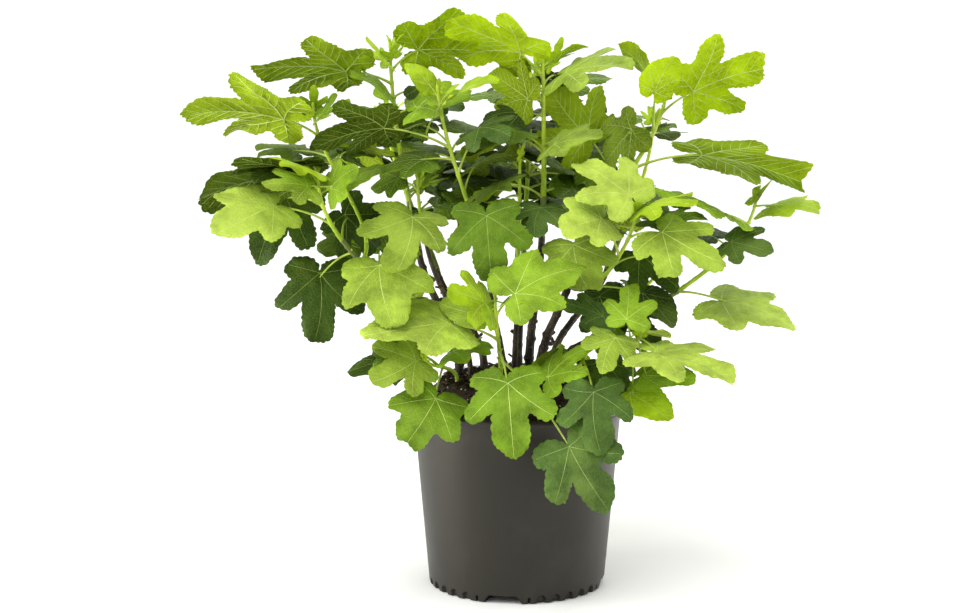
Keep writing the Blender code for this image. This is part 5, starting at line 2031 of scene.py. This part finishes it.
@dataclass
class Soil:
    """A mound of potting soil with chips, fibres and pale specks on it."""

    pot: Pot
    top: float = 0.2545
    top_radius: float = 0.088
    edge_height: float = 0.2075
    rings: int = 84
    sides: int = 210
    lumps: float = 0.0042
    chips: int = 1500
    specks: int = 210
    fibres: int = 240
    chip_sizes: tuple[float, float] = (0.0009, 0.0034)
    speck_sizes: tuple[float, float] = (0.0007, 0.0019)
    fibre_lengths: tuple[float, float] = (0.006, 0.018)
    fibre_radii: tuple[float, float] = (0.00022, 0.0005)

    def height_at(self, x: float, y: float) -> float:
        """Height of the mound at a place.

        Args:
            x: Place along X in metres.
            y: Place along Y in metres.

        Returns:
            Height in metres.
        """
        radius = math.hypot(x, y)
        rim = self.pot.body_radius - self.pot.wall - 0.001
        share = min(max((radius - self.top_radius) / (rim - self.top_radius), 0.0), 1.0)
        drop = share * share * (3.0 - 2.0 * share)
        base = self.top - (self.top - self.edge_height) * drop - 0.004 * (radius / rim) ** 2
        rough = noise.noise(Vector((x, y, 0.3)) * 34.0) + 0.7 * noise.noise(Vector((x, y, 0.9)) * 120.0)
        fine = 0.35 * noise.noise(Vector((x, y, 2.0)) * 330.0)
        return base + self.lumps * (rough + fine) * (1.0 - 0.7 * share)

    def build_mound(self) -> bpy.types.Object:
        """Make the mound from rings of points, closed below.

        Returns:
            The object.
        """
        rim = self.pot.body_radius - self.pot.wall - 0.0006
        points: list[tuple[float, float, float]] = []
        for ring in range(self.rings):
            radius = 0.002 + (rim - 0.002) * ring / (self.rings - 1)
            for side in range(self.sides):
                angle = 2.0 * math.pi * side / self.sides
                x, y = radius * math.cos(angle), radius * math.sin(angle)
                points.append((x, y, self.height_at(x, y)))
        low = self.height_at(0.0, 0.0)
        below = self.edge_height - 0.02
        for side in range(self.sides):
            angle = 2.0 * math.pi * side / self.sides
            points.append(((rim - 0.003) * math.cos(angle), (rim - 0.003) * math.sin(angle), below))
        points += [(0.0, 0.0, low), (0.0, 0.0, below)]
        walls = ring_triangles(self.rings + 1, self.sides)[:, ::-1]
        top = fan_triangles(len(points) - 2, 0, self.sides)
        foot = fan_triangles(len(points) - 1, self.rings * self.sides, self.sides, turned=True)
        sheaf = Sheaf()
        sheaf.add(np.array(points), np.concatenate([walls, top, foot]), 0)
        earth = EarthFinish("potting_soil", (0.022, 0.014, 0.009)).material()
        return sheaf.piece("soil_mound", [earth], 80.0)

    def scatter(self) -> bpy.types.Object:
        """Strew chips, specks and fibres over the mound as one joined piece.

        Returns:
            The object.
        """
        chance = random.Random("soil")
        sheaf = Sheaf()
        reach = self.pot.body_radius - self.pot.wall - 0.004
        ball = np.array([(0, 0, 1), (1, 0, 0), (0, 1, 0), (-1, 0, 0), (0, -1, 0), (0, 0, -1)], float)
        sides = np.concatenate([[(0, side, side % 4 + 1) for side in range(1, 5)],
                                [(5, side % 4 + 1, side) for side in range(1, 5)]])
        for number in range(self.chips + self.specks + self.fibres):
            radius = reach * math.sqrt(chance.random())
            angle = chance.uniform(0.0, FULL_TURN)
            x, y = radius * math.cos(angle), radius * math.sin(angle)
            spot = np.array((x, y, self.height_at(x, y)))
            if number < self.chips + self.specks:
                speck = number >= self.chips
                size = chance.uniform(*(self.speck_sizes if speck else self.chip_sizes))
                flat = (1.0, 1.0, 0.9) if speck else (chance.uniform(1.0, 2.2), 0.8, 0.45)
                shape = ball * size * np.array(flat)
                shape = shape * np.array([[chance.uniform(0.7, 1.25)] for _ in ball])
                turn = chance.uniform(0.0, ANY_PHASE)
                tip = chance.uniform(-0.7, 0.7)
                cos, sin = math.cos(turn), math.sin(turn)
                shape = shape @ np.array(((cos, sin, 0.0), (-sin, cos, 0.0), (0.0, 0.0, 1.0)))
                shape = shape @ np.array(((math.cos(tip), 0.0, math.sin(tip)), (0.0, 1.0, 0.0),
                                          (-math.sin(tip), 0.0, math.cos(tip))))
                slot = 2 if speck else chance.choice((0, 0, 1))
                sheaf.add(shape + spot + (0.0, 0.0, size * 0.35), sides, slot)
                continue
            ahead = direction(chance.uniform(0.0, 360.0), chance.uniform(-5.0, 25.0))
            side = direction(chance.uniform(0.0, 360.0), 0.0)
            length = chance.uniform(*self.fibre_lengths)
            share = np.linspace(-0.5, 0.5, 6)
            path = (spot + (0.0, 0.0, 0.001) + np.array(ahead) * (share * length)[:, None]
                    + np.array(side) * (share**2 * length * chance.uniform(-1.0, 1.0))[:, None])
            sheaf.add(*tube(path, np.full(6, chance.uniform(*self.fibre_radii)), 5), 3)
        finishes = [
            EarthFinish("chip_dark", (0.030, 0.018, 0.011), 0.0003).material(),
            EarthFinish("chip_brown", (0.110, 0.062, 0.034), 0.0003).material(),
            EarthFinish("pale_speck", (0.560, 0.545, 0.500), 0.0002).material(),
            EarthFinish("root_fibre", (0.150, 0.100, 0.058), 0.0001).material(),
        ]
        return sheaf.piece("soil_bits", finishes, 40.0)

    def build(self) -> None:
        """Make the mound and what lies on it."""
        for piece in (self.build_mound(), self.scatter()):
            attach(piece, ROOT)
            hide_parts("soil")


# Studio

@dataclass(frozen=True)
class Softbox:
    """A soft area light that looks at a spot on the plant."""

    name: str
    place: tuple[float, float, float]
    size: float
    power: float
    colour: Colour = (1.0, 1.0, 1.0)

    def build(self, target: Vector) -> None:
        """Hang the light.

        Args:
            target: The spot it looks at.
        """
        light = bpy.data.lights.new(self.name, "AREA")
        light.shape = "SQUARE"
        light.size = self.size
        light.energy = self.power
        light.color = self.colour
        hung = set_in_scene(self.name, light)
        hung.location = self.place
        hung.rotation_euler = (Vector(self.place) - target).to_track_quat("Z", "Y").to_euler()


@dataclass(frozen=True)
class Studio:
    """Pale floor, bright surroundings, soft lights and the camera at the photograph's angle."""

    camera_place: tuple[float, float, float] = (-0.0406, -2.53, 0.73)
    camera_pitch: float = 81.2
    lens: float = 79.3
    sensor: float = 36.0
    sky: float = 0.62
    haze: tuple[float, float] = (0.10, 0.30)
    sun: float = 2.35
    sun_angle: float = 62.0
    sun_turn: tuple[float, float, float] = (27.0, -20.0, 0.0)
    floor_size: float = 500.0
    target: tuple[float, float, float] = (0.0, 0.0, 0.42)
    lights: tuple[Softbox, ...] = (
        Softbox("strip", (-1.5, -0.25, 0.30), 0.6, 18.0, (1.0, 0.98, 0.86)),
        Softbox("edge", (1.4, 0.55, 0.30), 0.5, 11.0, (1.0, 0.98, 0.92)),
        Softbox("fill", (1.6, -1.6, 0.5), 1.0, 5.0),
        Softbox("rim", (0.6, 1.7, 2.3), 1.4, 22.0, (1.0, 0.99, 0.95)),
    )

    def build(self) -> None:
        """Set up floor, world, lights and camera."""
        scene = bpy.context.scene
        scene.view_settings.view_transform = "Standard"
        bpy.ops.object.select_all(action="DESELECT")
        bpy.ops.mesh.primitive_plane_add(size=self.floor_size, location=(0.0, 0.0, -0.0005))
        floor = bpy.context.object
        floor.name = floor.data.name = "floor"
        floor.data.materials.append(FloorFinish().material())
        world = bpy.data.worlds.new("studio")
        world.use_nodes = True
        sky = world.node_tree.nodes["Background"]
        sky.inputs["Color"].default_value = (1.0, 1.0, 1.0, 1.0)
        nodes, links = world.node_tree.nodes, world.node_tree.links
        place = nodes.new("ShaderNodeTexCoord")
        parts = nodes.new("ShaderNodeSeparateXYZ")
        fall = nodes.new("ShaderNodeMapRange")
        links.new(place.outputs["Generated"], parts.inputs["Vector"])
        links.new(parts.outputs["Z"], fall.inputs["Value"])
        for socket, value in zip(("From Min", "From Max", "To Min", "To Max"), (*self.haze, 1.0, self.sky)):
            fall.inputs[socket].default_value = value
        links.new(fall.outputs["Result"], sky.inputs["Strength"])
        scene.world = world
        for light in self.lights:
            light.build(Vector(self.target))
        sun = bpy.data.lights.new("sun", "SUN")
        sun.energy = self.sun
        sun.angle = math.radians(self.sun_angle)
        hung = set_in_scene("sun", sun)
        hung.rotation_euler = tuple(math.radians(part) for part in self.sun_turn)
        camera = bpy.data.cameras.new("camera")
        camera.lens = self.lens
        camera.sensor_width = self.sensor
        stand = set_in_scene("camera", camera)
        stand.location = self.camera_place
        stand.rotation_euler = (math.radians(self.camera_pitch), 0.0, 0.0)
        scene.camera = stand


def main() -> None:
    """Build the studio, the pot, the soil, the stems and the crown."""
    logging.basicConfig(level=logging.INFO, format="%(name)s: %(message)s")
    Studio().build()
    pot = Pot()
    pot.build()
    Soil(pot).build()
    bark = Bark()
    limbs = bark.grow()
    bark.build()
    Crown(limbs).build()


if __name__ == "__main__":
    main()
